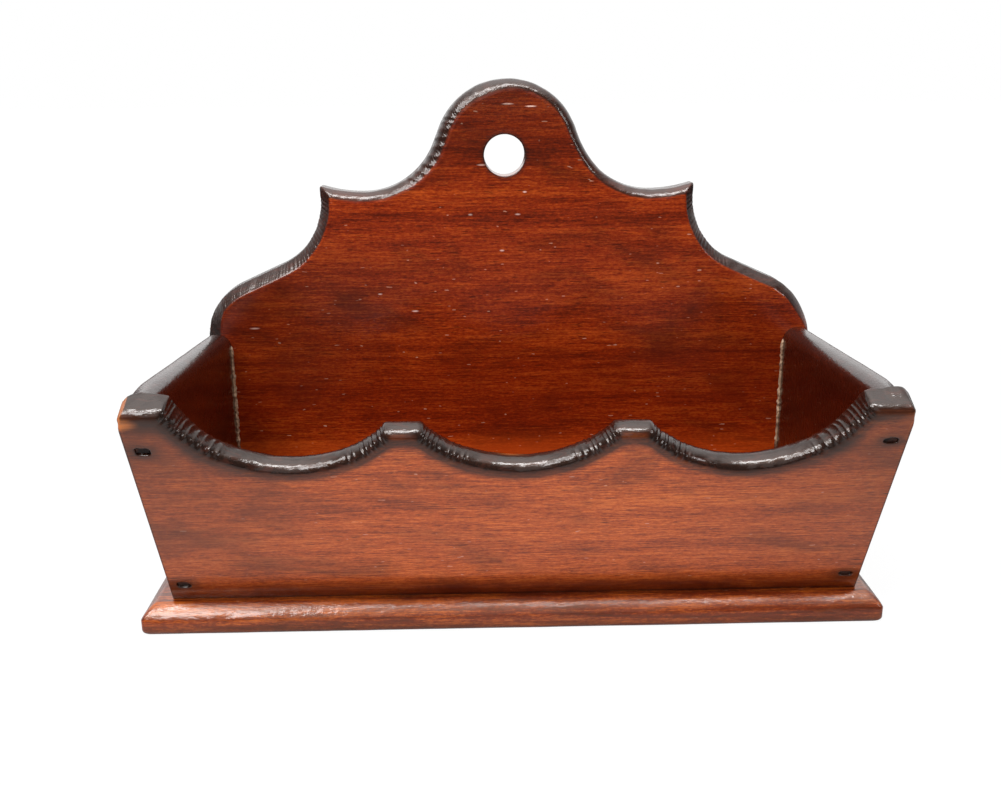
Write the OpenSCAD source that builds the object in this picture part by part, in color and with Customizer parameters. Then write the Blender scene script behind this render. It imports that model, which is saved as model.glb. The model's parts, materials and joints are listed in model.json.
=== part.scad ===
// An open candle box that hangs on a wall or stands on a shelf: five nailed boards.
// The back board rises into a shaped crest with a hanging hole, the front board leans
// forwards and has three scallops, and both rest on a base board with a moulded edge.
// Millimetres. +X is to the right, +Y is to the wall and +Z is up.
// The origin is under the middle of the whole box, on the surface that it stands on.

/* [Box] */
// Width over the side boards, and of the back and front boards
body_w = 300; // [270:1:340]
// Depth from the back board to the outer foot of the front board
foot_depth = 93.5; // [80:0.5:120]
// Lean of the front board, forwards from upright, in degrees
lean = 27; // [15:0.5:32]

/* [Boards] */
// Thickness of the back board
back_t = 12.7; // [9:0.1:18]
// Thickness of the front board
front_t = 12.7; // [9:0.1:16]
// Thickness of each side board
side_t = 12.7; // [10:0.1:18]
// Thickness of the base board
base_t = 13; // [9:0.1:20]

/* [Crest of the back board] */
// Height of the crest above the surface that the box stands on
crest_h = 229.5; // [215:0.5:260]
// Radius of the round top
crest_r = 35; // [30:0.5:40]
// Slope of the neck below the round top, in degrees from upright
neck_slope = 22; // [10:1:30]
// Length of the straight part of the neck
neck_len = 8; // [3:0.5:14]
// Radius of the hollow below the neck
hollow_r = 36.5; // [30:0.5:42]
// Radius of the gentler rise from that hollow to the ear
rise_r = 66; // [45:1:90]
// Distance from the middle of the board to the tip of each ear
ear_x = 90.2; // [84:0.2:100]
// Upright edge under the tip of each ear
ear_drop = 7; // [3:0.5:12]
// Radius of the large hollow under each ear
flank_r = 34; // [26:0.5:38]
// Radius of the round shoulder at each side
shoulder_r = 33; // [24:0.5:38]
// Height at which each shoulder leaves the upright side edge
shoulder_z = 103.6; // [96:0.2:108]
// Slope of the edge between the flank hollow and the shoulder, in degrees
shoulder_slope = 27; // [15:1:40]
// Width of the bevel round the crest, on the face
crest_bevel_w = 4.5; // [2:0.1:6]
// Depth of the bevel round the crest, into the edge
crest_bevel_d = 5; // [2:0.1:8]
// Length of that bevel down each side edge, below the shoulder
crest_bevel_foot = 2; // [1:0.5:6]

/* [Hanging hole] */
// Diameter of the hanging hole
hole_d = 19.6; // [12:0.1:26]
// Depth of the hole's centre below the top of the crest
hole_drop = 35; // [25:0.5:42]
// How far the hole was bored to the left of the middle
hole_left = 1.3; // [0:0.1:4]

/* [Front board] */
// Height of the end horns, measured up the slope
horn_h = 110.7; // [104:0.1:120]
// Height of the two points between the scallops, measured up the slope
point_h = 98.8; // [90:0.1:103]
// Depth of each scallop below those points
scallop_depth = 19; // [12:0.5:26]
// Width of each end horn, level with the points
horn_w = 23.7; // [18:0.1:30]
// Width of the flat top of each point
point_w = 14; // [8:0.5:20]
// How much lower the scalloped edge is on the inner face
edge_fall = 4.8; // [1:0.1:6]
// How much lower the right horn is than the left one
top_fall = 3; // [0:0.1:5]
// Width of the bevel along the top edge, on the outer face
front_bevel_w = 3.5; // [1.5:0.1:5]
// Depth of that bevel, into the edge
front_bevel_d = 4.2; // [1.5:0.1:6]

/* [Side boards] */
// Height of the side boards at the back, above the base board
side_back_h = 96.2; // [85:0.1:100]
// Rounding of their outer top corner
side_round_out = 3.2; // [1:0.1:3.8]
// Rounding of their inner top corner
side_round_in = 5.8; // [1:0.1:6]

/* [Base board] */
// Overhang of the base board past the left side board
base_left_lip = 12.6; // [6.4:0.1:20]
// Overhang of the base board past the right side board
base_right_lip = 10.6; // [6.4:0.1:20]
// Overhang of the base board past the foot of the front board
base_front_lip = 9.3; // [6.4:0.1:20]
// Rounding of its upper edge
base_round_top = 6; // [2:0.1:6.3]
// Rounding of its lower edge
base_round_bottom = 2.5; // [0.5:0.1:2.6]

/* [Cut nails] */
// Length of the nails through the front and the back board
nail_len = 32; // [24:0.5:34]
// Length of the nails through the base board
base_nail_len = 25.4; // [22:0.2:30]
// Long side of a nail's head
nail_head_w = 5; // [4:0.1:6]
// Height of a nail's head
nail_head_h = 1.5; // [1:0.1:2]
// Thickness of a nail, the same all the way down
nail_t = 2.4; // [1.8:0.1:3]
// Width of the shank under the head
shank_w = 3.2; // [2.6:0.1:3.8]
// Width of the shank at its blunt tip
tip_w = 1.6; // [1:0.1:2.4]
// Depth of a nail's head below the surface of the wood
nail_sink = 0.8; // [0.3:0.1:1.5]
// Gap between a nail and its hole on every side
nail_gap = 0.05; // [0.03:0.01:0.1]
// Height of the upper front nails, measured up the slope
front_nail_top = 92.8; // [80:0.1:96]
// Height of the lower front nails, measured up the slope
front_nail_low = 9.7; // [6:0.1:20]
// Height of the lowest back nails above the base board
back_nail_low = 14; // [8:0.5:25]
// Spacing of the back nails
back_nail_pitch = 32; // [24:0.5:36]
// Spacing of the base nails along the front and the back board
base_nail_pitch = 105; // [80:1:120]
// Distance of the base nails in a side board from the tips of its front and back nails
side_nail_clear = 5; // [3:0.5:10]

/* [Glue] */
// Width of the glue bead in the two rear corners
glue_w = 2.4; // [1.5:0.1:4]

/* [Hidden] */

// Steps along each curved stretch of an outline
ARC_STEPS = 16;
// Steps round each small edge rounding
ROUND_STEPS = 6;
// How far a cutting shape runs past the surface it opens
CUT = 1;
// Share of its own size that the waste of a planed edge runs past both surfaces
PAST = 0.2;
LEFT = -1;
RIGHT = 1;

half_w = body_w / 2;
// Places along Y, from the wall to the foremost point, which is the taller horn's outer edge
tall_horn_h = horn_h + top_fall / 2;
depth = back_t + foot_depth + (tall_horn_h - front_bevel_w) * sin(lean);
wall_y = depth / 2;
back_y = wall_y - back_t;
foot_y = back_y - foot_depth;
// Where the level foot of the front board ends, behind its outer edge
heel_y = foot_y + front_t / cos(lean);
// Line of the nails into each side board, along the middle of its thickness
nail_x = half_w - side_t / 2;
hole_z = crest_h - hole_drop;
// Round top, hollow, ear and flank of the crest, each from the one before it
crest_c = [0, crest_h - crest_r];
toward_hollow = [cos(neck_slope), sin(neck_slope)];
down_neck = [sin(neck_slope), -cos(neck_slope)];
hollow_c = crest_c + (crest_r + hollow_r) * toward_hollow + neck_len * down_neck;
rise_c = hollow_c + [0, rise_r - hollow_r];
ear_angle = 270 + asin((ear_x - rise_c[0]) / rise_r);
ear_z = rise_c[1] + rise_r * sin(ear_angle);
flank_c = [ear_x + flank_r, ear_z - ear_drop];
shoulder_c = [half_w - shoulder_r, shoulder_z];
// Scallops fill the width between the horns and the points
scallop_w = (body_w - 2 * horn_w - 2 * point_w) / 3;
scallop_r = (pow(scallop_w / 2, 2) + pow(scallop_depth, 2)) / (2 * scallop_depth);
scallop_pitch = scallop_w + point_w;
scallop_c = point_h - scallop_depth + scallop_r;
// Crown of the side boards at the back
crown_z = base_t + side_back_h;
// Nails under the front board stay inside its lean from the base board to their tips
front_row_y = (foot_y + heel_y - (base_nail_len + nail_sink - base_t) * tan(lean)) / 2;
back_row_y = wall_y - back_t / 2;
// Nails up into a side board stand clear of the tips of the nails through the front and back boards
side_front_y = foot_y - front_nail_low * sin(lean) + (nail_sink + nail_len) * cos(lean) + side_nail_clear;
side_back_y = wall_y - nail_sink - nail_len - side_nail_clear;

// Points along an arc, from angle a0 to angle a1
function arc(c, r, a0, a1, steps) =
    [for (i = [0:steps]) let (a = a0 + (a1 - a0) * i / steps) c + r * [cos(a), sin(a)]];

// Outline points mirrored to the other side, in the opposite order so that they still run on
function mirrored(pts) = [for (i = [len(pts) - 1:-1:0]) [-pts[i][0], pts[i][1]]];

// The same points without the first one
function rest(pts) = [for (i = [1:len(pts) - 1]) pts[i]];

// Edge of the right flank, from the upright side edge up to the start of the ear
function flank_edge() = concat(
    arc(shoulder_c, shoulder_r, 0, 90 - shoulder_slope, ARC_STEPS),
    arc(flank_c, flank_r, 270 - shoulder_slope, 180, ARC_STEPS)
);

// Edge from the tip of the right ear to the middle of the round top
function half_crest() = concat(
    arc(rise_c, rise_r, ear_angle, 270, ARC_STEPS / 2),
    rest(arc(hollow_c, hollow_r, 270, 180 + neck_slope, ARC_STEPS)),
    arc(crest_c, crest_r, neck_slope, 90, ARC_STEPS)
);

// Edge from the tip of the right ear over the top to the tip of the left one
function crest_edge() = concat(half_crest(), rest(mirrored(half_crest())));

// Scalloped edge from the right horn to the left one, along the board and up its slope
function scallops() =
    let (low = asin((scallop_r - scallop_depth) / scallop_r),
         high = asin(max(0, (scallop_c - horn_h) / scallop_r)))
    [for (k = [1:-1:-1])
        let (right_end = k == 1 ? high : low, left_end = k == -1 ? high : low)
        each arc([k * scallop_pitch, scallop_c], scallop_r, 360 - right_end, 180 + left_end, ARC_STEPS)];

// Lowers a point of the front board's top by its share of the fall to the right
function fallen(p) = p - [0, top_fall * p[0] / body_w];

// Unit vector square to an edge, into a board whose outline runs anticlockwise
function into(p, q) = [p[1] - q[1], q[0] - p[0]] / norm(q - p);

// Way that point i of an open edge moves when the board shrinks by 1
function mitre(edge, i) =
    let (last = len(edge) - 1,
         before = into(edge[max(i, 1) - 1], edge[max(i, 1)]),
         after = into(edge[min(i, last - 1)], edge[min(i, last - 1) + 1]))
    (before + after) / (1 + before * after);

// An edge made longer at its first point, straight on
function run_on(edge, by) = concat([edge[0] + by * (edge[0] - edge[1]) / norm(edge[0] - edge[1])], edge);

// The same at both of its ends
function run_on_both(edge, by) = mirrored(run_on(mirrored(run_on(edge, by)), by));

// Section of the waste that a plane takes off an edge, w into the face and d down the edge
function wedge(w, d) = [
    [-PAST * w, -PAST * d],
    [-PAST * w, (1 + PAST) * d],
    [(1 + PAST) * w, -PAST * d]
];

// Closed solid through a row of sections, each with as many points as the next
module skin(sections) {
    n = len(sections[0]);
    last = len(sections) - 1;
    caps = [[for (i = [0:n - 1]) i], [for (i = [n - 1:-1:0]) last * n + i]];
    walls = [for (k = [0:last - 1], i = [0:n - 1])
        let (a = k * n + i, b = k * n + (i + 1) % n)
        each [[a, a + n, b], [b, a + n, b + n]]];
    polyhedron([for (section = sections) each section], concat(caps, walls));
}

// Waste of a bevel along an edge of a board that lies with its face up at z = 0
module bevel_waste(edge, w, d) {
    skin([for (i = [0:len(edge) - 1])
        [for (s = wedge(w, d)) let (p = edge[i] + s[0] * mitre(edge, i)) [p[0], p[1], -s[1]]]]);
}

// Stands a board that lies face up against the wall, with its face to the front
module stand_at_back() {
    translate([0, back_y, 0]) rotate([90, 0, 0]) children();
}

// Stands a board that lies face up at the foot of the box's front, leaning forwards
module lean_at_front() {
    translate([0, foot_y, base_t]) rotate([90 + lean, 0, 0]) children();
}

// Side view of a cut nail, or of its hole when it has a gap and is open above its head
module nail_shape(length, gap, open) {
    polygon([
        [nail_head_w / 2 + gap, open],
        [nail_head_w / 2 + gap, -nail_head_h - gap],
        [shank_w / 2 + gap, -nail_head_h - gap],
        [tip_w / 2 + gap, -length - gap],
        [-tip_w / 2 - gap, -length - gap],
        [-shank_w / 2 - gap, -nail_head_h - gap],
        [-nail_head_w / 2 - gap, -nail_head_h - gap],
        [-nail_head_w / 2 - gap, open]
    ]);
}

// A cut nail that points down, with the top of its head at the origin
module nail(length) {
    color("#241a17") rotate([90, 0, 0]) linear_extrude(nail_t, center = true) nail_shape(length, 0, 0);
}

// The hole of that nail, open to the surface that its head is sunk below
module nail_hole(length) {
    rotate([90, 0, 0])
        linear_extrude(nail_t + 2 * nail_gap, center = true)
            nail_shape(length, nail_gap, nail_sink + CUT);
}

// Puts children at the two front nails of one side, square to the leaning board
module at_front_nails(side) {
    lean_at_front()
        for (up = [front_nail_low, front_nail_top]) translate([side * nail_x, up, -nail_sink]) children();
}

// Puts children at the three nails that go through the back board into one side board
module at_back_nails(side) {
    for (k = [0:2])
        translate([side * nail_x, wall_y - nail_sink, base_t + back_nail_low + k * back_nail_pitch])
            rotate([-90, 0, 0]) children();
}

// Puts children at three nails up through the base board, in a row at depth y
module at_base_nails(y) {
    for (k = [-1:1]) translate([k * base_nail_pitch, y, nail_sink]) rotate([180, 0, 0]) children();
}

// Puts children at two nails up through the base board into one side board
module at_side_nails(side) {
    for (y = [side_front_y, side_back_y])
        translate([side * nail_x, y, nail_sink]) rotate([180, 0, 90]) children();
}

module back_board() {
    outline = concat(
        [[-half_w, base_t], [half_w, base_t]], flank_edge(), crest_edge(), mirrored(flank_edge()));
    ear = 2 * crest_bevel_w;
    side_edge = concat([[half_w, shoulder_z - crest_bevel_foot]], flank_edge(), [[ear_x, ear_z]]);
    right_edge = mirrored(run_on(mirrored(side_edge), ear));
    difference() {
        stand_at_back() {
            difference() {
                color("#6e2613") translate([0, 0, -back_t]) linear_extrude(back_t) polygon(outline);
                color("#2a1712") {
                    bevel_waste(run_on_both(crest_edge(), ear), crest_bevel_w, crest_bevel_d);
                    bevel_waste(right_edge, crest_bevel_w, crest_bevel_d);
                    bevel_waste(mirrored(right_edge), crest_bevel_w, crest_bevel_d);
                }
            }
        }
        translate([-hole_left, wall_y + CUT, hole_z])
            rotate([90, 0, 0]) cylinder(h = back_t + 2 * CUT, d = hole_d, $fn = 96);
        for (side = [LEFT, RIGHT]) at_back_nails(side) nail_hole(nail_len);
        at_base_nails(back_row_y) nail_hole(base_nail_len);
    }
}

module front_board() {
    // Drawn with a foot long enough to be cut level, so that it stands on the base board
    foot = -front_t * tan(lean);
    dips = [for (p = scallops()) fallen(p)];
    edge = concat([fallen([half_w, horn_h])], dips, [fallen([-half_w, horn_h])]);
    // Behind the bevel's crest the dips and points fall along this slope
    fall = atan2(edge_fall, front_t - front_bevel_d);
    above = 2 * horn_h;
    dip_x = dips[0][0];
    difference() {
        lean_at_front() {
            difference() {
                color("#965a40")
                    translate([0, 0, -front_t])
                        linear_extrude(front_t) polygon(concat([[-half_w, foot], [half_w, foot]], edge));
                color("#2a1712") bevel_waste(run_on_both(edge, CUT), front_bevel_w, front_bevel_d);
                translate([0, 0, -front_bevel_d])
                    rotate([-fall, 0, 0])
                        linear_extrude(2 * above, center = true)
                            polygon(concat(
                                [for (p = dips) [p[0], p[1] * cos(fall)]],
                                [[-dip_x, above], [dip_x, above]]));
            }
        }
        translate([-body_w, foot_y - CUT, base_t - foot_depth])
            cube([2 * body_w, foot_depth, foot_depth]);
        for (side = [LEFT, RIGHT]) at_front_nails(side) nail_hole(nail_len);
        at_base_nails(front_row_y) nail_hole(base_nail_len);
    }
}

// Side board: its crown climbs from the back board to the top of the horn in front of it
module side_board(side) {
    up = fallen([side * half_w, horn_h])[1];
    horn = [foot_y - up * sin(lean) + front_t * cos(lean), base_t + up * cos(lean) + front_t * sin(lean)];
    spare = side_t * [-sin(lean), cos(lean)];
    climb = atan2(horn[1] - crown_z, back_y - horn[0]);
    section = concat(
        [[-side_t / 2, -2 * crown_z], [side_t / 2, -2 * crown_z]],
        arc([side_t / 2 - side_round_out, -side_round_out], side_round_out, 0, 90, ROUND_STEPS),
        arc([side_round_in - side_t / 2, -side_round_in], side_round_in, 90, 180, ROUND_STEPS));
    difference() {
        color("#4a1410")
            intersection() {
                translate([side * nail_x - side_t / 2, 0, 0])
                    rotate([90, 0, 90])
                        linear_extrude(side_t)
                            polygon([
                                [back_y, base_t], [back_y, crown_z + side_t], horn + spare, [heel_y, base_t]
                            ]);
                translate([side * nail_x, back_y, crown_z])
                    rotate([90 - climb, 0, 0])
                        translate([0, 0, -back_t])
                            linear_extrude(2 * depth) polygon(side == RIGHT ? section : mirrored(section));
            }
        at_front_nails(side) nail_hole(nail_len);
        at_back_nails(side) nail_hole(nail_len);
        at_side_nails(side) nail_hole(base_nail_len);
    }
}

// Moulded edge of the base board that reaches out to x, from its underside to its top
function base_lip(x) = concat(
    arc([x - base_round_bottom, base_round_bottom], base_round_bottom, 270, 360, ROUND_STEPS),
    arc([x - base_round_top, base_t - base_round_top], base_round_top, 0, 90, ROUND_STEPS)
);

module base_board() {
    left_x = -half_w - base_left_lip;
    right_x = half_w + base_right_lip;
    front_y = foot_y - base_front_lip;
    across = concat(base_lip(right_x), mirrored(base_lip(-left_x)));
    along = concat([[wall_y, 0], [wall_y, base_t]], mirrored(base_lip(-front_y)));
    difference() {
        color("#8a3319")
            intersection() {
                translate([0, wall_y + CUT, 0])
                    rotate([90, 0, 0]) linear_extrude(depth + 2 * CUT) polygon(across);
                translate([left_x - CUT, 0, 0])
                    rotate([90, 0, 90]) linear_extrude(right_x - left_x + 2 * CUT) polygon(along);
            }
        at_base_nails(front_row_y) nail_hole(base_nail_len);
        at_base_nails(back_row_y) nail_hole(base_nail_len);
        for (side = [LEFT, RIGHT]) at_side_nails(side) nail_hole(base_nail_len);
    }
}

// Dried glue in the corner between a side board and the back board
module glue_bead(side) {
    color("#b08a5a")
        translate([side * (half_w - side_t), back_y, base_t])
            linear_extrude(side_back_h - side_round_in)
                polygon([[0, 0], [-side * glue_w, 0], [0, -glue_w]]);
}

back_board();
front_board();
side_board(LEFT);  // left_side_board
side_board(RIGHT);  // right_side_board
base_board();
at_front_nails(LEFT) nail(nail_len);  // front_nails_left
at_front_nails(RIGHT) nail(nail_len);  // front_nails_right
at_back_nails(LEFT) nail(nail_len);  // back_nails_left
at_back_nails(RIGHT) nail(nail_len);  // back_nails_right
at_base_nails(front_row_y) nail(base_nail_len);  // base_nails_front
at_base_nails(back_row_y) nail(base_nail_len);  // base_nails_back
at_side_nails(LEFT) nail(base_nail_len);  // base_nails_left
at_side_nails(RIGHT) nail(base_nail_len);  // base_nails_right
glue_bead(LEFT);  // glue_bead_left
glue_bead(RIGHT);  // glue_bead_right
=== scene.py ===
# %% [markdown]
# # An old candle box, dressed for its portrait
#
# A cabinet maker sawed, planed and nailed this box, and then two centuries of hands and shellac
# finished it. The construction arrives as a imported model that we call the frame: plain boards at their
# real size. This lesson builds the surfaces that the eye meets. We could have put better materials
# straight onto the plain boards, but their edges are too crisp and their bevels too flat, so each
# board is built again on the frame's own measures, and the nails are kept as they are.

# %% Load the fixed frame
import json
import math

import bpy
import numpy as np
from mathutils import Matrix, Vector
from mathutils.geometry import tessellate_polygon


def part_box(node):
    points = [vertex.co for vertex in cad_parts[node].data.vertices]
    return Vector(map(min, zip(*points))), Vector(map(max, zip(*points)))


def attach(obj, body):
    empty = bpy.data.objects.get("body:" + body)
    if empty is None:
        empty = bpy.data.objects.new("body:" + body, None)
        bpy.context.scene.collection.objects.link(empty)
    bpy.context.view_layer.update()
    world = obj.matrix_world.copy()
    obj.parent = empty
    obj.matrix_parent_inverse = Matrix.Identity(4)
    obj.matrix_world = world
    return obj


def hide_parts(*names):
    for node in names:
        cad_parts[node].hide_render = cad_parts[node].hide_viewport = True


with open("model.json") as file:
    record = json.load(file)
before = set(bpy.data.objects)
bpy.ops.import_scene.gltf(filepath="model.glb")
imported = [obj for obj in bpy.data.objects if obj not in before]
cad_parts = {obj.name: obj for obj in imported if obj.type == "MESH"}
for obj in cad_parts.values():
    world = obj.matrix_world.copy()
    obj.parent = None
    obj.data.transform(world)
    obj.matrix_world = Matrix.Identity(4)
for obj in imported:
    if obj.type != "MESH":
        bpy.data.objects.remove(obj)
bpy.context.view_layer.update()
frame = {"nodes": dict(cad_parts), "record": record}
MM = 0.001

# %% [markdown]
# ## The measures
#
# Everything that the frame can tell is read from it: widths, heights and thicknesses come from the
# boxes round its boards, and the hanging hole from the record's mount. The shapes inside those boxes,
# such as the radii of the crest, are written here once, in millimetres, as the maker would chalk them
# on a pattern. Reading what we can and repeating only what we must keeps the two models in step.

# %% The measures, in millimetres
BOXES = {name: [np.array(corner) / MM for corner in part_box(name)] for name in frame["nodes"]}
HOLE = next(m for m in frame["record"]["mounts"] if m["name"] == "hanging_hole")

half_w = BOXES["back_board"][1][0]
base_t = BOXES["back_board"][0][2]
crest_h = BOXES["back_board"][1][2]
back_y = BOXES["back_board"][0][1]
back_t = BOXES["back_board"][1][1] - back_y
# The side boards and the front board are sawn from the same half-inch stock
board_t = 12.7
lean = 27.0
lean_sin, lean_cos = math.sin(math.radians(lean)), math.cos(math.radians(lean))
front_bevel_w, front_bevel_d = 3.5, 4.2
horn_h = 110.7
top_fall = 3.0
# The front board's box starts at the taller horn's outer edge, so its foot follows from the lean
foot_y = BOXES["front_board"][0][1] + (horn_h + top_fall / 2 - front_bevel_w) * lean_sin
# The long side of a cut nail's head, and how far up the slope the front nails sit
nail_head = 5.0
front_nails_up = (9.7, 92.8)
nail_x = BOXES["front_nails_right"][1][0] - nail_head / 2
print("box", round(2 * half_w, 2), "wide, crest at", round(crest_h, 2))
print("front foot at", round(foot_y, 2), "and nails", round(nail_x, 2), "from the middle")

# %% [markdown]
# ## Lines that a fretsaw can follow
#
# Each board is sawn to an outline, so we need lines: arcs, straight stretches and the way into the
# wood at each of their points. An outline here is a list of smooth edges that meet in corners. It runs
# anticlockwise, so that the wood is always on its left. Extra columns ride along with the two
# coordinates, such as how much of the bevel each point gets.

# %% Lines and corners
def arc(centre, radius, start, end, count=60):
    """Points on a circle: the centre plus the radius times (cos a, sin a), with a from start to end."""
    a = np.radians(np.linspace(start, end, count))
    return np.array(centre) + radius * np.column_stack((np.cos(a), np.sin(a)))


def line(a, b, count=60):
    """Points on the straight line a + t (b - a), with t from 0 to 1."""
    return np.linspace(a, b, count)


def mirrored(points):
    """The same edge on the other side: x turned to -x, in the opposite order so that it still runs on."""
    return points[::-1] * [-1, 1]


def lengths(points):
    """Distance walked along the line up to each of its points."""
    return np.concatenate(([0], np.cumsum(np.hypot(*np.diff(points[:, :2], axis=0).T))))


def evenly(points, count):
    """The line with count points at equal steps: each column is read at equal shares of its length."""
    walked = lengths(points)
    at = np.linspace(0, walked[-1], count)
    return np.column_stack([np.interp(at, walked, column) for column in points.T])


def left_of(points):
    """Unit vectors square to the line and to its left: the step along it, (x, z), turned to (-z, x)."""
    step = np.gradient(points[:, :2], axis=0)
    left = np.column_stack((-step[:, 1], step[:, 0]))
    return left / np.linalg.norm(left, axis=1, keepdims=True)


def wedge(u, v):
    """The flat cross product of two arrays of vectors, u_x v_z - u_z v_x."""
    return u[..., 0] * v[..., 1] - u[..., 1] * v[..., 0]


def crossing(a, b):
    """Where line a last crosses line b, as two shares of their rows: p + t r = q + s u is solved for
    every pair of steps at once, and a pair crosses where t and s both lie between 0 and 1."""
    p, r = a[:-1, None, :2], np.diff(a[:, :2], axis=0)[:, None]
    q, u = b[None, :-1, :2], np.diff(b[:, :2], axis=0)[None]
    turn = wedge(r, u)
    turn = np.where(np.abs(turn) < 1e-12, np.nan, turn)
    t, s = wedge(q - p, u) / turn, wedge(q - p, r) / turn
    pairs = np.argwhere((t >= 0) & (t <= 1) & (s >= 0) & (s <= 1))
    if len(pairs) == 0:
        return None
    i, j = pairs[-1]
    return i + t[i, j], j + s[i, j]


def part_of(points, start, end):
    """The rows of a line from place start to place end, both given as a row number and a share."""
    rows = np.arange(len(points))
    ends = [[np.interp(at, rows, column) for column in points.T] for at in (start, end)]
    inside = points[(rows > start) & (rows < end)]
    return np.vstack([ends[0], inside, ends[1]])


print("a quarter of a circle of 10 mm is", round(lengths(arc((0, 0), 10, 0, 90))[-1], 2), "mm long")

# %% [markdown]
# ## A board as a stack of rings
#
# A moulded board could be cut from a block with boolean tools, or grown with a bevel modifier. We
# stack rings instead. Ring 0 lies on the face, the next ones roll over the bevel, go down the edge and
# end on the back. Each ring is the outline moved into the wood by its inset. Where two edges meet
# in a corner their moved lines cross, and both are cut there, which is just how a mitre is made. The
# gain is that every point knows where it is along the edge, so tool marks can be put where we want.

# %% Rings of a board
# How many points from a corner its two moved edges are searched for their crossing
CORNER_REACH = 160


def moved_edges(edges, inset):
    """Every edge moved into the wood by inset, a number for each point, and cut at the mitres."""
    moved = []
    for edge, shift in zip(edges, inset):
        row = edge.copy()
        row[:, :2] += left_of(edge) * shift[:, None]
        moved.append(row)
    starts, ends = [0.0] * len(edges), [len(edge) - 1.0 for edge in edges]
    for k in range(len(edges)):
        after = (k + 1) % len(edges)
        if inset[k][-1] < 1e-6:
            continue
        first = max(0, len(moved[k]) - CORNER_REACH)
        place = crossing(moved[k][first:], moved[after][:CORNER_REACH])
        if place:
            ends[k], starts[after] = first + place[0], place[1]
    return [part_of(row, a, b) for row, a, b in zip(moved, starts, ends)]


def ring(edges, inset, counts):
    """One closed ring of points round a board, with a set number of points on each edge."""
    return np.vstack([evenly(row, n)[:-1] for row, n in zip(moved_edges(edges, inset), counts)])


def softened(rows, corners, passes, reach):
    """Wears the ring's corners round: near each corner a point moves to the mean of itself and its two
    neighbours, passes times, fading out over reach points on both sides. Each ring may have its own
    number of passes, so that a bevel's inner line can be worn rounder than the board's edge."""
    count = rows.shape[1]
    numbers = np.arange(count)
    away = np.min([np.abs((numbers - c + count // 2) % count - count // 2) for c in corners], axis=0)
    share = np.clip(1 - away / reach, 0, 1)[None, :, None]
    passes = np.broadcast_to(passes, len(rows))
    rows = rows.copy()
    for turn in range(max(passes)):
        still = rows[passes > turn]
        mean = (np.roll(still, 1, axis=1) + np.roll(still, -1, axis=1)) / 2
        rows[passes > turn] = still + share * (mean - still) / 2
    return rows


def quarter(steps, flatness=0.0):
    """A rounded-over corner as pairs (how far in, how far down), both from 0 to 1: a quarter circle,
    drawn towards the straight chord of a flat bevel by its flatness."""
    a = np.linspace(0, np.pi / 2, steps)
    curve = np.column_stack((1 - np.sin(a), 1 - np.cos(a)))
    chord = np.column_stack((1 - a / (np.pi / 2), a / (np.pi / 2)))
    return (1 - flatness) * curve + flatness * chord


def profile(width, depth, thick, flatness, arris, shoulder=1.0, bevel_steps=14, edge_steps=8):
    """(inset, depth) of each ring: a little of the face, the bevel, the edge and the rear arris."""
    over = quarter(bevel_steps, flatness) * [width, depth]
    edge = np.column_stack((np.zeros(edge_steps), np.linspace(depth, thick - arris, edge_steps + 1)[1:]))
    rear = quarter(5)[::-1] * [arris, -arris] + [0, thick]
    return np.vstack([[width + shoulder, 0], over, edge, rear[1:], [arris + shoulder, thick]])


print("rings of a bevelled board:", len(profile(4, 5, board_t, 0, 0.7)))

# %% [markdown]
# The rings become a mesh in one step: neighbouring rings are joined by quads, and the first and last
# ring are filled with flat triangles that leave the holes out. A hole is a small stack of rings too,
# wound the other way round, so that the same joining rule turns its walls to face the hole.

# %% Rings to a closed mesh
def band_faces(rings, count, first):
    """Quads between neighbouring rings: (k, j), (k + 1, j), (k + 1, j + 1), (k, j + 1)."""
    k, j = np.meshgrid(np.arange(rings - 1), np.arange(count), indexing="ij")
    after = (j + 1) % count
    quads = (k * count + j, (k + 1) * count + j, (k + 1) * count + after, k * count + after)
    return first + np.stack(quads, axis=-1).reshape(-1, 4)


# How far a straight edge bows inwards where the flat faces are worked out: seen by no eye, and just
# enough that three points of one edge never lie on one line
EDGE_BOW = 0.003


def filled(flat, loops, turned):
    """Triangles that fill the flat shape between an outer loop and its holes, facing the same way. They
    are found on a copy whose straight edges bow inwards a little, x + bow x y^2 and y + bow y x^2 with x
    and y from -1 to 1, so that no flat sliver joins three points of one edge."""
    outer = flat[loops[0]]
    centre = (outer.max(axis=0) + outer.min(axis=0)) / 2
    half = (outer.max(axis=0) - outer.min(axis=0)) / 2
    flat = flat + EDGE_BOW * (flat - centre) * (((flat - centre) / half) ** 2)[:, ::-1]
    polygons = [[Vector((*flat[i], 0)) for i in loop] for loop in loops]
    order = np.concatenate(loops)
    triangles = order[np.array(tessellate_polygon(polygons))]
    a, b, c = (flat[triangles[:, k]] for k in range(3))
    clockwise = wedge(b - a, c - a) < 0
    triangles[clockwise] = triangles[clockwise][:, ::-1]
    return triangles[:, ::-1] if turned else triangles


class Shell:
    """A closed mesh in the making: flat points (x, z, depth) with their marks, and its faces."""

    def __init__(self):
        self.points, self.marks, self.quads, self.triangles = [], [], [], []
        self.size = 0

    def stack(self, rows, marks):
        """Adds a stack of rings and returns the numbers of its first and its last ring's points."""
        rings, count = rows.shape[:2]
        first = self.size
        self.points.append(rows.reshape(-1, 3))
        self.marks.append(marks.reshape(rings * count, -1))
        self.quads.append(band_faces(rings, count, first))
        self.size += rings * count
        return first + np.arange(count), first + (rings - 1) * count + np.arange(count)

    def cap(self, loops, turned=False):
        """Fills the flat shape between loops of point numbers."""
        flat = np.vstack(self.points)[:, :2]
        self.triangles.append(filled(flat, loops, turned))


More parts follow.
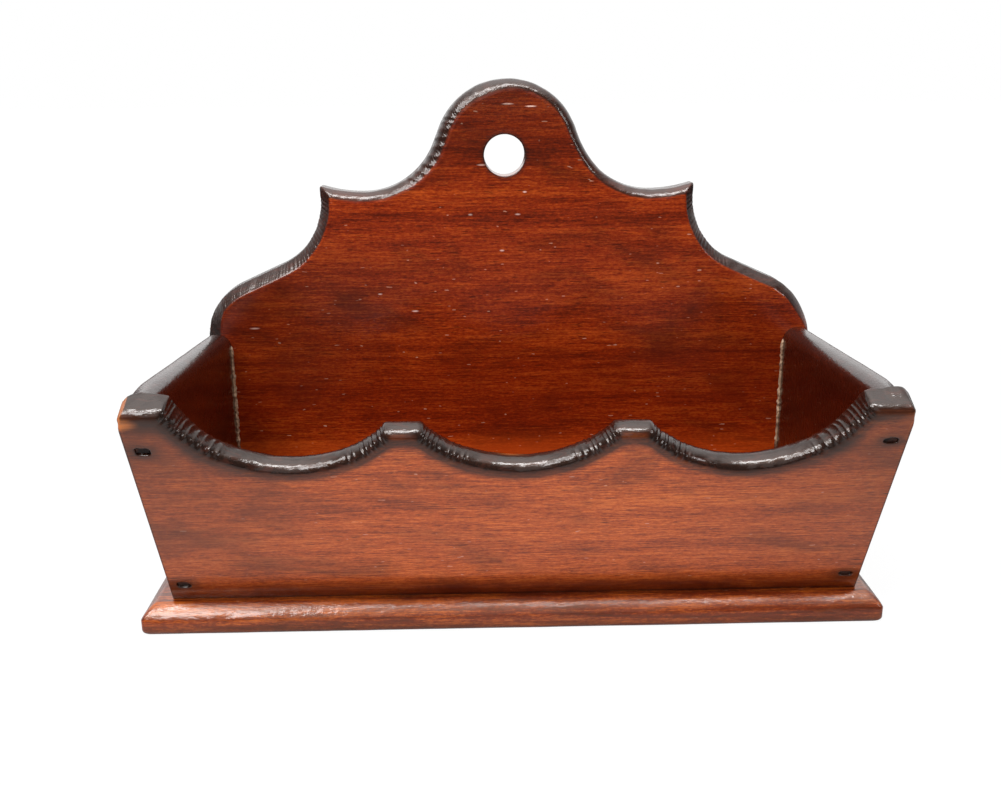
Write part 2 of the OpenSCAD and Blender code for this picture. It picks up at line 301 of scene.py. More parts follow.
def make_piece(name, points, quads, triangles, marks):
    """Puts points in metres and faces into a new mesh object that rides on the box."""
    mesh = bpy.data.meshes.new(name)
    faces = [tuple(f) for f in quads.tolist()] + [tuple(f) for f in triangles.tolist()]
    mesh.from_pydata(points.tolist(), [], faces)
    smooth = np.arange(len(faces)) < len(quads)
    mesh.polygons.foreach_set("use_smooth", smooth)
    for mark, values in marks.items():
        mesh.attributes.new(mark, "FLOAT", "POINT").data.foreach_set("value", values.astype(np.float32))
    mesh.validate()
    mesh.update()
    piece = bpy.data.objects.new(name, mesh)
    bpy.context.scene.collection.objects.link(piece)
    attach(piece, "root")
    print(f"{name}: {len(points)} points, {len(faces)} faces")
    return piece


print("quads between two rings of four points:", len(band_faces(2, 4, 0)))

# %% [markdown]
# Every point carries four marks for the finish that comes later: how far it lies on a bevel, how much
# smoke and dirt it caught, how far its shellac is worn off, and whether it belongs to the rear. They
# could be painted on afterwards, but here each ring knows its place, so the marks cost nothing.

# %% Marks for the finish, and where a point lies
MARKS = ("bevel", "haze", "bare", "rear")


def marks_of(count, **given):
    """A row of marks for each of count points: a number or an array for each mark, or else 0."""
    return np.column_stack([np.broadcast_to(given.get(mark, 0.0), count) for mark in MARKS])


def edge_starts(counts):
    """The number of each edge's first point in a ring, whose edges share their corner points."""
    return np.cumsum([0] + [n - 1 for n in counts[:-1]])


def edge_numbers(counts):
    """For each point of a ring, the number of the edge that it lies on."""
    return np.repeat(np.arange(len(counts)), [n - 1 for n in counts])[None, :]


def walked_down(section):
    """How far it is from the first ring to each ring, measured along the board's section."""
    return np.cumsum(np.linalg.norm(np.diff(section, axis=0, prepend=section[:1]), axis=1))[:, None]


print("marks:", ", ".join(MARKS))

# %% [markdown]
# ## Chance, but the same chance each time
#
# Hand work is never even. All the unevenness comes from one smooth noise: random heights on a grid,
# joined by a soft curve. The seed is a plain number, so each run draws the same wobble.

# %% Smooth noise
NOISE_CELLS = 4096
NOISE_START = 512


def wobble(at, step, seed):
    """Smooth noise from -1 to 1 along a line: random heights every step, eased between by
    3 t^2 - 2 t^3. It starts a few hundred cells in, so that a place may also lie before 0."""
    heights = np.random.default_rng(seed).uniform(-1, 1, NOISE_CELLS)
    place = np.asarray(at, float) / step + NOISE_START
    cell = np.floor(place).astype(int) % (NOISE_CELLS - 1)
    t = place - np.floor(place)
    t = t * t * (3 - 2 * t)
    return heights[cell] * (1 - t) + heights[cell + 1] * t


def eased(value, low, high):
    """0 up to low, 1 from high on, and 3 t^2 - 2 t^3 between."""
    t = np.clip((np.asarray(value, float) - low) / (high - low), 0, 1)
    return t * t * (3 - 2 * t)


def ring_normals(rows):
    """Outward unit normals of a stack of rings: the step to the next ring crossed with the step along."""
    down = np.gradient(rows, axis=0)
    along = np.roll(rows, -1, axis=1) - np.roll(rows, 1, axis=1)
    # (x, z, depth) is left-handed as seen from the face, so the cross product's sign is turned
    normal = -np.cross(down, along)
    return normal / np.maximum(np.linalg.norm(normal, axis=2, keepdims=True), 1e-9)


print("eased at five places from 0 to 1:", eased(np.linspace(0, 1, 5), 0, 1).round(2))

# %% [markdown]
# ## Marks of the tools
#
# The maker broke the sharp edges with a knife and a gouge. In places the strokes were left as they
# fell, as a row of small slanting notches like the lay of a rope. They could be faked with a bump
# pattern, but they catch the light at the very outline of the board, so they are cut into the points.

# %% Notches and unevenness along an edge
def notches(along, down, start, end, pitch, depth, slant, seed, growth=0.0):
    """How deep a row of gouge strokes goes: every pitch a round scoop 4 t (1 - t) of that depth, with t
    from 0 to 1 across it, so that sharp ridges are left between. The strokes lean by slant, and their
    spacing and depth are uneven. Where the pitch grows by growth per mm, the strokes are counted as
    log(1 + growth x / pitch) / growth."""
    at = along + slant * down
    count = np.log(np.maximum(1 + growth * at / pitch, 0.05)) / growth if growth else at / pitch
    phase = count + 0.3 * wobble(at, 1.7 * pitch, seed)
    t = phase - np.floor(phase)
    uneven = 0.72 + 0.28 * wobble(at, 1.3 * pitch, seed + 1)
    inside = eased(along, start, start + pitch) * (1 - eased(along, end - 2.5 * pitch, end))
    return depth * 4 * t * (1 - t) * uneven * inside


def hand_cut(along, down, amount, seed):
    """The slow unevenness of an edge that was cut by eye, from two wavelengths of smooth noise."""
    turn = along + 0.6 * down
    return amount * (0.6 * wobble(turn, 9, seed) + 0.4 * wobble(turn, 3.5, seed + 1))


def chopped(rows, corner, normal, soft=0.6, span=(-1e3, 1e3)):
    """Cuts a corner off: points beyond the plane through corner move back onto it, for x within the
    span. The rim is softened: up to soft on both sides of the plane a point at distance d moves by
    (d + soft)^2 / (4 soft). Returns the points, and how far each of them moved."""
    n = np.array(normal, float) / np.linalg.norm(normal)
    past = (rows - np.array(corner, float)) @ n
    past = np.where(past > soft, past, np.where(past > -soft, (past + soft) ** 2 / (4 * soft), 0))
    x = rows[..., 0]
    past = past * eased(x, span[0] - 3, span[0]) * (1 - eased(x, span[1], span[1] + 3))
    return rows - past[..., None] * n, past


filed = chopped(np.zeros((1, 3)), (0, 0, 0), (1, 0, 0))[1]
print("a point on the file's plane moves by", filed[0].round(2), "mm")

# %% [markdown]
# ## The back board
#
# One wide board, sawn to a round top, two hollows, two sharp ears and two round shoulders. Its edge
# is bevelled from one side board round to the other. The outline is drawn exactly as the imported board
# was, by stepping from each arc's centre to the next, and then the rings give it its rounded bevel.

# %% The outline of the back board
crest_r, neck_slope, neck_len = 35.0, 22.0, 8.0
hollow_r, rise_r, ear_x, ear_drop = 36.5, 66.0, 90.2, 7.0
flank_r, shoulder_r, shoulder_z, shoulder_slope = 34.0, 33.0, 103.6, 27.0
crest_bevel_w, crest_bevel_d, crest_bevel_foot = 4.5, 5.0, 2.0


def crest_and_sides():
    """The right side edge and the crest, both anticlockwise."""
    slope = math.radians(neck_slope)
    top = np.array([0, crest_h - crest_r])
    hollow = (top + (crest_r + hollow_r) * np.array([math.cos(slope), math.sin(slope)])
              + neck_len * np.array([math.sin(slope), -math.cos(slope)]))
    rise = hollow + [0, rise_r - hollow_r]
    ear_angle = 270 + math.degrees(math.asin((ear_x - rise[0]) / rise_r))
    half = np.vstack([
        arc(rise, rise_r, ear_angle, 270),
        arc(hollow, hollow_r, 270, 180 + neck_slope)[1:],
        arc(top, crest_r, neck_slope, 90, 120)])
    ear_z = half[0, 1]
    side = np.vstack([
        line((half_w, base_t), (half_w, shoulder_z)),
        arc((half_w - shoulder_r, shoulder_z), shoulder_r, 0, 90 - shoulder_slope)[1:],
        arc((ear_x + flank_r, ear_z - ear_drop), flank_r, 270 - shoulder_slope, 180),
        [(ear_x, ear_z)]])
    return side, np.vstack([half, mirrored(half)[1:]])


def marked(points, step=0.25, **columns):
    """An edge with a point every step, and further columns: a number, or a function of its points.
    The last column is the length walked along it."""
    points = evenly(points, int(lengths(points)[-1] / step) + 2)
    extra = [np.broadcast_to(c(points) if callable(c) else c, len(points)) for c in columns.values()]
    return np.column_stack([points, *extra, lengths(points)])


side_line, crest_line = crest_and_sides()
crest_len, side_len = lengths(crest_line)[-1], lengths(side_line)[-1]
print("back outline:", round(crest_len), "mm of crest,", round(side_len), "of side")

# %% [markdown]
# The nail heads are sunk in small ragged pockets and the hanging hole goes right through. Both are
# holes in the flat face, so each gives the face one more loop to leave out.

# %% Pockets
# A pocket is a little longer and wider than its nail's head
pocket_long, pocket_short, pocket_deep = 5.5, 2.9, 2.1
# Each ring of a pocket: its size against the loop, its share of the depth, and how dark iron stained it
POCKET_LEVELS = ((1.2, 0.0, 0.0), (1.06, 0.04, 0.6), (1.0, 0.2, 0.8), (0.93, 1.0, 0.8))


def pocket_loop(centre, width, height, seed, count=40):
    """A ragged rounded rectangle round a nail head, clockwise: a superellipse |x|^3 + |z|^3 = 1."""
    a = -np.linspace(0, 2 * np.pi, count, endpoint=False)
    radius = (np.abs(np.cos(a)) ** 3 + np.abs(np.sin(a)) ** 3) ** (-1 / 3)
    radius *= 1.04 + 0.13 * wobble(np.arange(count) * 8.0 / count, 1.0, seed)
    across = np.column_stack((np.cos(a) * width / 2, np.sin(a) * height / 2))
    return np.array(centre) + across * radius[:, None]


def sink_pocket(shell, centre, width, height, seed, rear_at=None):
    """A pocket in the face, or in the rear if its depth is given: rings down to a flat floor, with the
    dark stain that iron leaves in the wood. Returns the loop of its rim."""
    on_rear = rear_at is not None
    top, floor = (rear_at, rear_at - pocket_deep) if on_rear else (0, pocket_deep)
    loop = pocket_loop(centre, width, height, seed)
    if on_rear:
        loop = loop[::-1]
    middle = loop.mean(axis=0)
    rows, marks = [], []
    for size, share, dark in POCKET_LEVELS:
        level = np.full(len(loop), top + share * (floor - top))
        rows.append(np.column_stack((middle + (loop - middle) * size, level)))
        marks.append(marks_of(len(loop), bevel=dark, rear=float(on_rear)))
    rim, bottom = shell.stack(np.array(rows), np.array(marks))
    shell.cap([bottom[::-1] if on_rear else bottom], turned=on_rear)
    return rim


print("a pocket goes", pocket_deep, "mm deep in", len(POCKET_LEVELS), "rings")

# %% The hanging hole
def bore_hole(shell):
    """Rings from just outside the hole down its wall to the rear. The broken edge is dark, and the
    wall inside is half bare wood. Returns the loops of both rims."""
    centre = [HOLE["pos_m"][0] / MM, HOLE["pos_m"][2] / MM]
    section = profile(0.45, 0.45, back_t, 0.1, 0.5, shoulder=0.5, bevel_steps=6, edge_steps=6)
    section = np.vstack([[2.4, 0], section])
    rows, marks = [], []
    for k, (out, depth) in enumerate(section):
        loop = arc(centre, HOLE["dims"]["r_mm"] + out, 360, 0, 97)[:-1]
        rows.append(np.column_stack((loop, np.full(len(loop), depth))))
        dark = min(0.4 * k, 0.8) * (depth < 2)
        bare = 0.45 * (2 <= depth < back_t)
        marks.append(marks_of(len(loop), bevel=dark, bare=bare, rear=float(k >= len(section) - 2)))
    return shell.stack(np.array(rows), np.array(marks))


print("the hanging hole is", 2 * HOLE["dims"]["r_mm"], "mm wide")

# %% [markdown]
# The knife didn't go round evenly. The bevel is wide on the crest, narrow on the right shoulder and
# widest at the foot of the left one, and on both shoulders it is flatter than on the crest. So each
# point of the outline has a share of the bevel's width and a flatness, and three profiles are mixed.

# %% The edges of the back board
# The numbers of the edges on the way round, after the foot, which is edge 0
RIGHT, CREST, LEFT = 1, 2, 3
# Points of a ring on each edge, and the height at which the bevel starts
BACK_COUNTS = (90, 430, 560, 430)
bevel_z = shoulder_z - crest_bevel_foot


def crest_share(points):
    """How wide the bevel of the crest is cut: widest on the left flank of the neck, by a third."""
    from_left = lengths(points)[-1] - lengths(points)
    widest = eased(from_left, 38, 62) * (1 - eased(from_left, 100, 125))
    return 1 + 0.34 * widest + 0.06 * wobble(from_left, 17, 12)


def right_share(points):
    """The right shoulder's bevel: a quarter of its width at its foot, and all of it 20 mm higher."""
    z = points[:, 1]
    return (0.25 + 0.75 * eased(z, bevel_z + 1, bevel_z + 21)) * eased(z, bevel_z - 2, bevel_z + 1)


def left_share(points):
    """The left shoulder's bevel: nearly twice its width at its foot, and a little over it higher up."""
    z = points[:, 1]
    return (1.16 + 0.8 * (1 - eased(z, bevel_z + 4, bevel_z + 24))) * eased(z, bevel_z - 2, bevel_z + 1)


def back_edges():
    """The four edges with the share of the bevel, the flatness and the length walked at each point."""
    return [
        marked(line((-half_w, base_t), (half_w, base_t)), share=0, flat=0),
        marked(side_line, share=right_share, flat=1),
        marked(crest_line, share=crest_share, flat=0),
        marked(mirrored(side_line), share=left_share, flat=1)]


print("the bevel of the back board starts at", round(bevel_z, 1))

# %% The rings of the back board
def blended(plain, rounded, flatter, share, flat):
    """plain + share (bevel - plain), where bevel = rounded + flat (flatter - rounded)."""
    return plain + share * (rounded + flat * (flatter - rounded) - plain)


def back_rings(edges):
    """The rings and their marks before the tools touch them, the length walked along each point's
    edge, and the way down from the first ring."""
    plain = profile(0.2, 0.2, back_t, 0, 0.3, shoulder=1.5)
    rounded = profile(crest_bevel_w, crest_bevel_d, back_t, 0.2, 0.7)
    flatter = profile(crest_bevel_w, crest_bevel_d, back_t, 0.8, 0.7)
    rows, marks, along = [], [], []
    for k, three in enumerate(zip(plain, rounded, flatter)):
        insets, depths = zip(*three)
        loop = ring(edges, [blended(*insets, edge[:, 2], edge[:, 3]) for edge in edges], BACK_COUNTS)
        share, flat, walked = loop[:, 2:].T
        rows.append(np.column_stack((loop[:, :2], blended(*depths, share, flat))))
        on_bevel = np.clip(share, 0, 1) * np.clip((k - 1) / 2, 0, 1)
        marks.append(marks_of(len(loop), bevel=on_bevel, rear=float(k >= len(plain) - 2)))
        along.append(walked)
    return np.array(rows), np.array(marks), np.array(along), walked_down(rounded)


# Rows of strokes: their edge, from and to how far from the ear (or, on the crest, from its left end),
# and their pitch, depth, slant and seed
BACK_STROKES = (
    (RIGHT, 4, 46, 2.0, 0.3, 0.3, 21),
    (LEFT, 5, 52, 1.9, 0.3, 0.3, 22),
    (LEFT, 48, 112, 1.4, 0.34, 0.5, 23),
    (CREST, 40, 88, 4.1, 0.5, 0.5, 24),
    (CREST, 40, 92, 1.35, 0.16, -0.5, 25))


def cut_back():
    """The rings after the knife: corners worn round, edges uneven, and rows of strokes cut in."""
    edges = back_edges()
    rows, marks, along, down = back_rings(edges)
    rows = softened(rows, edge_starts(BACK_COUNTS), 14, 7)
    where = edge_numbers(BACK_COUNTS)
    cut = hand_cut(along + 500 * where, down, 0.24, 11)
    away = {RIGHT: edges[RIGHT][-1, -1] - along, CREST: edges[CREST][-1, -1] - along, LEFT: along}
    strokes = np.zeros_like(along)
    for edge, start, end, pitch, depth, slant, seed in BACK_STROKES:
        strokes += notches(away[edge], down, start, end, pitch, depth, slant, seed) * (where == edge)
    fade = eased(down, 0.8, 2.5) * (1 - eased(down, 11, 14)) * marks[..., 0].max(axis=0)
    rows = rows + ring_normals(rows) * ((cut - strokes) * fade)[..., None]
    # The last ring bounds the whole rear face, so a dark bevel mark there would spread across it
    marks[-1, :, 0] = 0
    return rows, marks


print("rows of strokes on the back board:", len(BACK_STROKES))

# %% The back board itself
# The lowest back nail's height above the base board, and the step to the next
back_nail_up, back_nail_step = 14, 32


def back_board_shell():
    """The back board's rings, hole and pockets, in (x, z, depth) behind its face."""
    shell = Shell()
    face, rear = shell.stack(*cut_back())
    hole_face, hole_rear = bore_hole(shell)
    pockets = []
    for k in range(3):
        for side in (-1, 1):
            centre = (side * nail_x, base_t + back_nail_up + back_nail_step * k)
            pockets.append(sink_pocket(shell, centre, pocket_long, pocket_short, 31 + k, rear_at=back_t))
    shell.cap([face, hole_face])
    shell.cap([rear, hole_rear] + pockets, turned=True)
    return shell


def finished_shell(name, shell, place, slot, *nodes):
    """Turns a shell into a piece: place maps its (x, z, depth) to the box's x, y, z in millimetres."""
    points = place(np.vstack(shell.points)) * MM
    marks = dict(zip(MARKS, np.vstack(shell.marks).T))
    triangles = np.vstack(shell.triangles)
    piece = make_piece(name, points, np.vstack(shell.quads), triangles, marks)
    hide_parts(*nodes)
    return piece


def against_wall(points):
    """(x, z, depth) to (x, back_y + depth, z)."""
    return np.column_stack((points[:, 0], back_y + points[:, 2], points[:, 1]))


back = finished_shell("back_board_dressed", back_board_shell(), against_wall, "back_wood", "back_board")

# %% [markdown]
# ## The front board
#
# It leans forwards, so it is drawn flat and tilted at the end. Its top has two horns that cover the
# side boards, two points and three scallops. Behind the bevel the scallops slope down into the box,
# while the horns are cut off square. Dirt from many hands lies on the face just under the bevel, so
# a few extra rings reach down the face and carry how much of it there is.

# %% The outline of the front board
point_h, scallop_depth, horn_w, point_w, edge_fall = 98.8, 19.0, 23.7, 14.0, 4.8
scallop_w = (2 * half_w - 2 * horn_w - 2 * point_w) / 3
scallop_r = ((scallop_w / 2) ** 2 + scallop_depth ** 2) / (2 * scallop_depth)
scallop_pitch = scallop_w + point_w
scallop_c = point_h - scallop_depth + scallop_r
# How far below the bevel the extra rings on the face lie
HAZE_DROPS = (9.0, 6.0, 3.5, 1.6)


def fallen(points):
    """Lowers the top line by its share of the fall to the right: top_fall times x over the width."""
    points = np.array(points, float)
    return np.column_stack((points[:, 0], points[:, 1] - top_fall * points[:, 0] / (2 * half_w)))


def top_edges():
    """Horn, scallop, point and so on from the right to the left, each a line of points."""
    low = math.degrees(math.asin((scallop_r - scallop_depth) / scallop_r))
    high = math.degrees(math.asin((scallop_c - horn_h) / scallop_r))
    dips = []
    for k in (1, 0, -1):
        right_end = high if k == 1 else low
        left_end = high if k == -1 else low
        centre = (k * scallop_pitch, scallop_c)
        dips.append(fallen(arc(centre, scallop_r, 360 - right_end, 180 + left_end, 90)))
    right_horn = np.vstack([fallen([(half_w, horn_h)]), dips[0][:1]])
    left_horn = np.vstack([dips[2][-1:], fallen([(-half_w, horn_h)])])
    tops = [np.vstack([dips[k][-1:], dips[k + 1][:1]]) for k in (0, 1)]
    return [right_horn, dips[0], tops[0], dips[1], tops[1], dips[2], left_horn]


def front_edges():
    """The whole outline, with columns: the share of the bevel, the slope behind it, which grows over
    the first ramp mm from a horn, the share of the height, and the length walked."""
    ramp = 26.0
    right_horn, dip_r, top_r, dip_m, top_l, dip_l, left_horn = top_edges()
    both = dict(share=1, slope=1, hang=1)
    foot = marked(line((-half_w, 0), (half_w, 0)), share=0, slope=0, hang=0)
    right = marked(np.vstack([(half_w, 0), right_horn[:1]]), share=0, slope=0,
                   hang=lambda p: p[:, 1] / p[-1, 1])
    left = marked(np.vstack([left_horn[-1:], (-half_w, 0)]), share=0, slope=0,
                  hang=lambda p: p[:, 1] / p[0, 1])
    return [
        foot, right,
        marked(right_horn, share=1, slope=0, hang=1),
        marked(dip_r, share=1, slope=lambda p: eased(lengths(p), 0, ramp), hang=1),
        marked(top_r, **both), marked(dip_m, **both), marked(top_l, **both),
        marked(dip_l, share=1, slope=lambda p: eased(lengths(p)[-1] - lengths(p), 0, ramp), hang=1),
        marked(left_horn, share=1, slope=0, hang=1), left]


print("three scallops", round(scallop_w, 1), "mm wide, of radius", round(scallop_r, 1))

# %% The rings of the front board
# Points of a ring on each edge: foot, right end, horn, scallop, point and so on to the left end
FRONT_COUNTS = (50, 150, 90, 500, 60, 500, 60, 500, 90, 150)
FACE_RINGS = len(HAZE_DROPS)
RIGHT_HORN, MIDDLE_SCALLOP = 2, 5


def front_profiles():
    """The plain and the bevelled section, both with extra rings on the face, and how far down the face
    each ring lies."""
    plain = profile(0.08, 0.08, board_t, 0, 0.15, shoulder=0.8)
    bevelled = profile(front_bevel_w, front_bevel_d, board_t, 0.1, 0.8)
    both = [np.vstack([np.repeat(rings[:1], FACE_RINGS, axis=0), rings]) for rings in (plain, bevelled)]
    return *both, list(HAZE_DROPS) + [0] * len(plain)


def front_rings(edges):
    """The rings, their marks and the length walked along each point's edge. Behind the bevel a scallop
    sinks by edge_fall times the share of the way to the rear to the power 2.6, and the foot is cut
    level: up drops by the depth times tan(lean) there."""
    plain, bevelled, drops = front_profiles()
    rows, marks, along = [], [], []
    for k, (thin, wide, drop) in enumerate(zip(plain, bevelled, drops)):
        # The rings on the face also draw in a little from its plain ends and foot
        inset = [thin[0] + 0.12 * drop * (1 - edge[:, 2]) + edge[:, 2] * (wide[0] - thin[0])
                 for edge in edges]
        loop = ring(edges, inset, FRONT_COUNTS)
        share, slope, hang, walked = loop[:, 2:].T
        depth = thin[1] + share * (wide[1] - thin[1])
        behind = np.clip((depth - front_bevel_d) / (board_t - front_bevel_d), 0, 1)
        level = depth * math.tan(math.radians(lean)) * (1 - hang)
        up = loop[:, 1] - drop * hang - edge_fall * slope * behind ** 2.6 - level
        rows.append(np.column_stack((loop[:, 0], up, depth)))
        dark = np.where(share > 0.5, np.clip((k - FACE_RINGS - 1) / 4, 0, 1), 0.8 * (k > FACE_RINGS))
        # Dirt fades down the face, quickly over the scallops and slowly towards the horns
        reach = 4.0 - 2.8 * eased(np.abs(loop[:, 0]), 88, 118)
        haze = share * (1 - drop / (max(HAZE_DROPS) + 0.01)) ** reach
        marks.append(marks_of(len(loop), bevel=dark, haze=haze, rear=float(k >= len(plain) - 2)))
        along.append(walked)
    return np.array(rows), np.array(marks), np.array(along)


def front_down():
    """The way down from where the bevel starts, below 0 on the face."""
    bevelled = front_profiles()[1][FACE_RINGS:]
    down = walked_down(np.vstack([np.zeros((FACE_RINGS, 2)), bevelled]))
    return down - down[FACE_RINGS]


def worn_corners(rows):
    """The corners of points and horns worn round, far more at the bevel's inner line than at the rear,
    and then a little more together with the two outer corners."""
    starts = edge_starts(FRONT_COUNTS)
    passes = np.interp(np.arange(len(rows)) - FACE_RINGS, [0, 5, 12, 20], [700, 400, 120, 30]).astype(int)
    rows = softened(rows, starts[3:9], passes, 52)
    return softened(rows, starts[2:], 6, 6)


print("the front board has", len(front_profiles()[2]), "rings of",
      sum(FRONT_COUNTS) - len(FRONT_COUNTS), "points")

# %% [markdown]
# The gouge was driven from every point and horn down into the scallops, in strokes that grow longer.
# Later, two centuries of hands rounded the horns, took the finish off their tips and rubbed it thin on
# the points. Cutting planes take the corners off here, as a file would.

# %% Strokes and wear on the front board
# Strokes on a scallop: its edge, and how far they go on from its right end and from its left end
SCALLOP_STROKES = ((3, 31, 24), (MIDDLE_SCALLOP, 25, 25), (7, 24, 31))
stroke_pitch, stroke_depth, stroke_growth = 2.0, 0.46, 0.06


def front_strokes(along, down, where, edge_len):
    """How deep the strokes go. On the bevel they already lean with its mitre, so most of their slant
    lies on the top."""
    swept = np.interp(down, [0, 5.5, 14], [0, 0.3, 2.2])
    strokes = np.zeros_like(along)
    for edge, right_reach, left_reach in SCALLOP_STROKES:
        for walked, reach, seed in ((along, right_reach, 40), (edge_len - along, left_reach, 50)):
            strokes += notches(walked, swept, 1, reach, stroke_pitch, stroke_depth, -1, seed + edge,
                               stroke_growth) * (where == edge)
    return strokes


def worn_horns(rows, down, where):
    """The horns' corners filed off by planes, and how far the shellac is worn off them."""
    top_left, top_right = horn_h + top_fall / 2, horn_h - top_fall / 2
    rows, _ = chopped(rows, (-half_w + 5.5, top_left, board_t), (-0.5, 0.5, 0.7))
    rows, _ = chopped(rows, (half_w - 3.0, top_right, board_t), (0.6, 0.5, 0.62))
    rows, _ = chopped(rows, (-half_w + 11.0, top_left, board_t), (0.28, 0.93, 0.2),
                      span=(-half_w, -half_w + horn_w))
    # A low lip is left standing on the right horn, near its outer end
    x = rows[..., 0]
    lip = eased(x, half_w - 10.5, half_w - 7.5) * (1 - eased(x, half_w - 5, half_w))
    rows[..., 1] += 0.9 * lip * eased(down, 7.5, 13) * (where == RIGHT_HORN)
    rows, _ = chopped(rows, (half_w - horn_w + 9.0, top_right, board_t), (-0.4, 0.5, 0.75),
                      span=(half_w - horn_w, half_w))
    rows, side_worn = chopped(rows, (-half_w + 2.8, top_left, 0), (-0.75, 0.66, 0), soft=0.4)
    rows, tip_worn = chopped(rows, (-half_w + 1.0, top_left - 4.7, 0), (-0.7, 0.25, -0.65), soft=0.4)
    rows, _ = chopped(rows, (half_w - 1.6, top_right, 0), (0.75, 0.66, 0))
    rows, right_worn = chopped(rows, (half_w - 0.8, top_right - 4.4, 0), (0.7, 0.2, -0.6), soft=0.4)
    return rows, np.clip((side_worn + tip_worn + 0.4 * right_worn) / 0.5, 0, 1)


def cut_front():
    """The rings after the gouge and the hands, with the marks that both left."""
    edges = front_edges()
    rows, marks, along = front_rings(edges)
    rows = worn_corners(rows)
    down = front_down()
    where = edge_numbers(FRONT_COUNTS)
    edge_len = np.array([edge[-1, -1] for edge in edges])[where]
    strokes = front_strokes(along, down, where, edge_len)
    cut = hand_cut(along + 200 * where, down, 0.24, 61)
    on_top = (where > 1) & (where < len(edges) - 1)
    fade = eased(down, 0.6, 2.8) * (1 - eased(down, 14.5, 16)) * on_top
    rows = rows + ring_normals(rows) * ((cut - strokes) * fade)[..., None]
    # Fingers rubbed the dark finish thin on the lower half of the bevel of the horns and points
    rubbed = ((where % 2 == 0) & on_top) * eased(down, 1.2, 2.4) * (1 - eased(down, 3.8, 5.2))
    rubbed = rubbed * eased(along, 0, 3) * (1 - eased(along, edge_len - 3, edge_len))
    marks[..., 0] *= 1 - 0.42 * rubbed
    marks[..., 1] *= 1 - 0.1 * rubbed
    rows, marks[..., 2] = worn_horns(rows, down, where)
    # One bare scar lies on the top of the middle scallop
    scar = np.exp(-((rows[..., 0] + 3) / 4.5) ** 2) * eased(down, 10.5, 12.5) * (where == MIDDLE_SCALLOP)
    marks[..., 2] = np.maximum(marks[..., 2], 0.7 * scar * (1 - eased(down, 14, 15.5)))
    marks[-1, :, :3] = 0
    return rows, marks


print("rows of strokes on the front board:", 2 * len(SCALLOP_STROKES))

# %% The front board itself
# The pockets on the left were torn wider than those on the right
LEFT_HIGH, RIGHT_HIGH = 3.9, 3.1


def front_board_shell():
    """The front board's rings and pockets, in (x, up the slope, depth) behind its face."""
    shell = Shell()
    face, rear = shell.stack(*cut_front())
    pockets = []
    for k, up in enumerate(front_nails_up):
        for side, high in ((-1, LEFT_HIGH), (1, RIGHT_HIGH)):
            pockets.append(sink_pocket(shell, (side * nail_x, up), pocket_long, high, 71 + 3 * k + side))
    shell.cap([face] + pockets)
    shell.cap([rear], turned=True)
    return shell


def leaning(points):
    """(x, up, depth) to the leaning board: y = foot - up sin(lean) + depth cos(lean), and
    z = base top + up cos(lean) + depth sin(lean)."""
    x, up, depth = points.T
    return np.column_stack((x, foot_y - up * lean_sin + depth * lean_cos,
                            base_t + up * lean_cos + depth * lean_sin))


front = finished_shell("front_board_dressed", front_board_shell(), leaning, "front_wood", "front_board")

# %% [markdown]
# ## The base board
#
# A moulded board that stands proud at the front and at both sides. Seen from above it is just another
# outline, so the same rings make it: a large round at the top, a small one below, and mitred corners
# that wear has rounded. Its rear edge was left square, because it goes against the wall.

# %% The rings of the base board
base_round_top, base_round_bottom, face_step = 6.0, 2.5, 1.2
# Points of a ring on each edge: front, right, rear and left
BASE_COUNTS = (420, 200, 60, 200)
REAR_EDGE = 2


def base_profiles():
    """(inset, depth) of each ring: a square edge with its arris just broken, and the moulded one."""
    arris = 0.4
    plain = np.vstack([[face_step, 0], quarter(12) * arris,
                       quarter(9)[::-1] * [arris, -arris] + [0, base_t], [face_step, base_t]])
    over = quarter(12, 0.6) * base_round_top
    under = quarter(9)[::-1] * [base_round_bottom, -base_round_bottom] + [0, base_t]
    moulded = np.vstack([[base_round_top + face_step, 0], over, under,
                         [base_round_bottom + face_step, base_t]])
    return plain, moulded


def base_rings():
    """The rings, their marks and the length walked along each point's edge."""
    (left_x, front_y, _), (right_x, wall_y, _) = BOXES["base_board"]
    corners = [(left_x, front_y), (right_x, front_y), (right_x, wall_y), (left_x, wall_y)]
    edges = [marked(line(a, b), share=float(k != REAR_EDGE))
             for k, (a, b) in enumerate(zip(corners, corners[1:] + corners[:1]))]
    plain, moulded = base_profiles()
    rows, marks, along = [], [], []
    for k, (thin, wide) in enumerate(zip(plain, moulded)):
        inset = [thin[0] + edge[:, 2] * (wide[0] - thin[0]) for edge in edges]
        loop = ring(edges, inset, BASE_COUNTS)
        share, walked = loop[:, 2:].T
        rows.append(np.column_stack((loop[:, :2], thin[1] + share * (wide[1] - thin[1]))))
        rim = share * (0 < k < len(plain) - 1)
        marks.append(marks_of(len(loop), bevel=rim, rear=float(k >= len(plain) - 2)))
        along.append(walked)
    return np.array(rows), np.array(marks), np.array(along)


def cut_base():
    """The rings after the plane, which left the edge a little uneven, and after two centuries of dents."""
    rows, marks, along = base_rings()
    rows = softened(rows, edge_starts(BASE_COUNTS), 16, 5)
    where = edge_numbers(BASE_COUNTS)
    down = np.arange(len(rows))[:, None]
    cut = 0.12 * hand_cut(along * 0.4 + 300 * where, down, 1, 81)
    dents = 0.25 * np.clip(wobble(along + 300 * where + 2.0 * down, 5, 83) - 0.72, 0, 1)
    fade = eased(down, 1, 4) * (1 - eased(down, 17, 20)) * marks[..., 0]
    return rows + ring_normals(rows) * ((cut - dents) * fade)[..., None], marks


print("the base board is", round(base_t, 1), "mm thick and its top round", base_round_top, "mm")

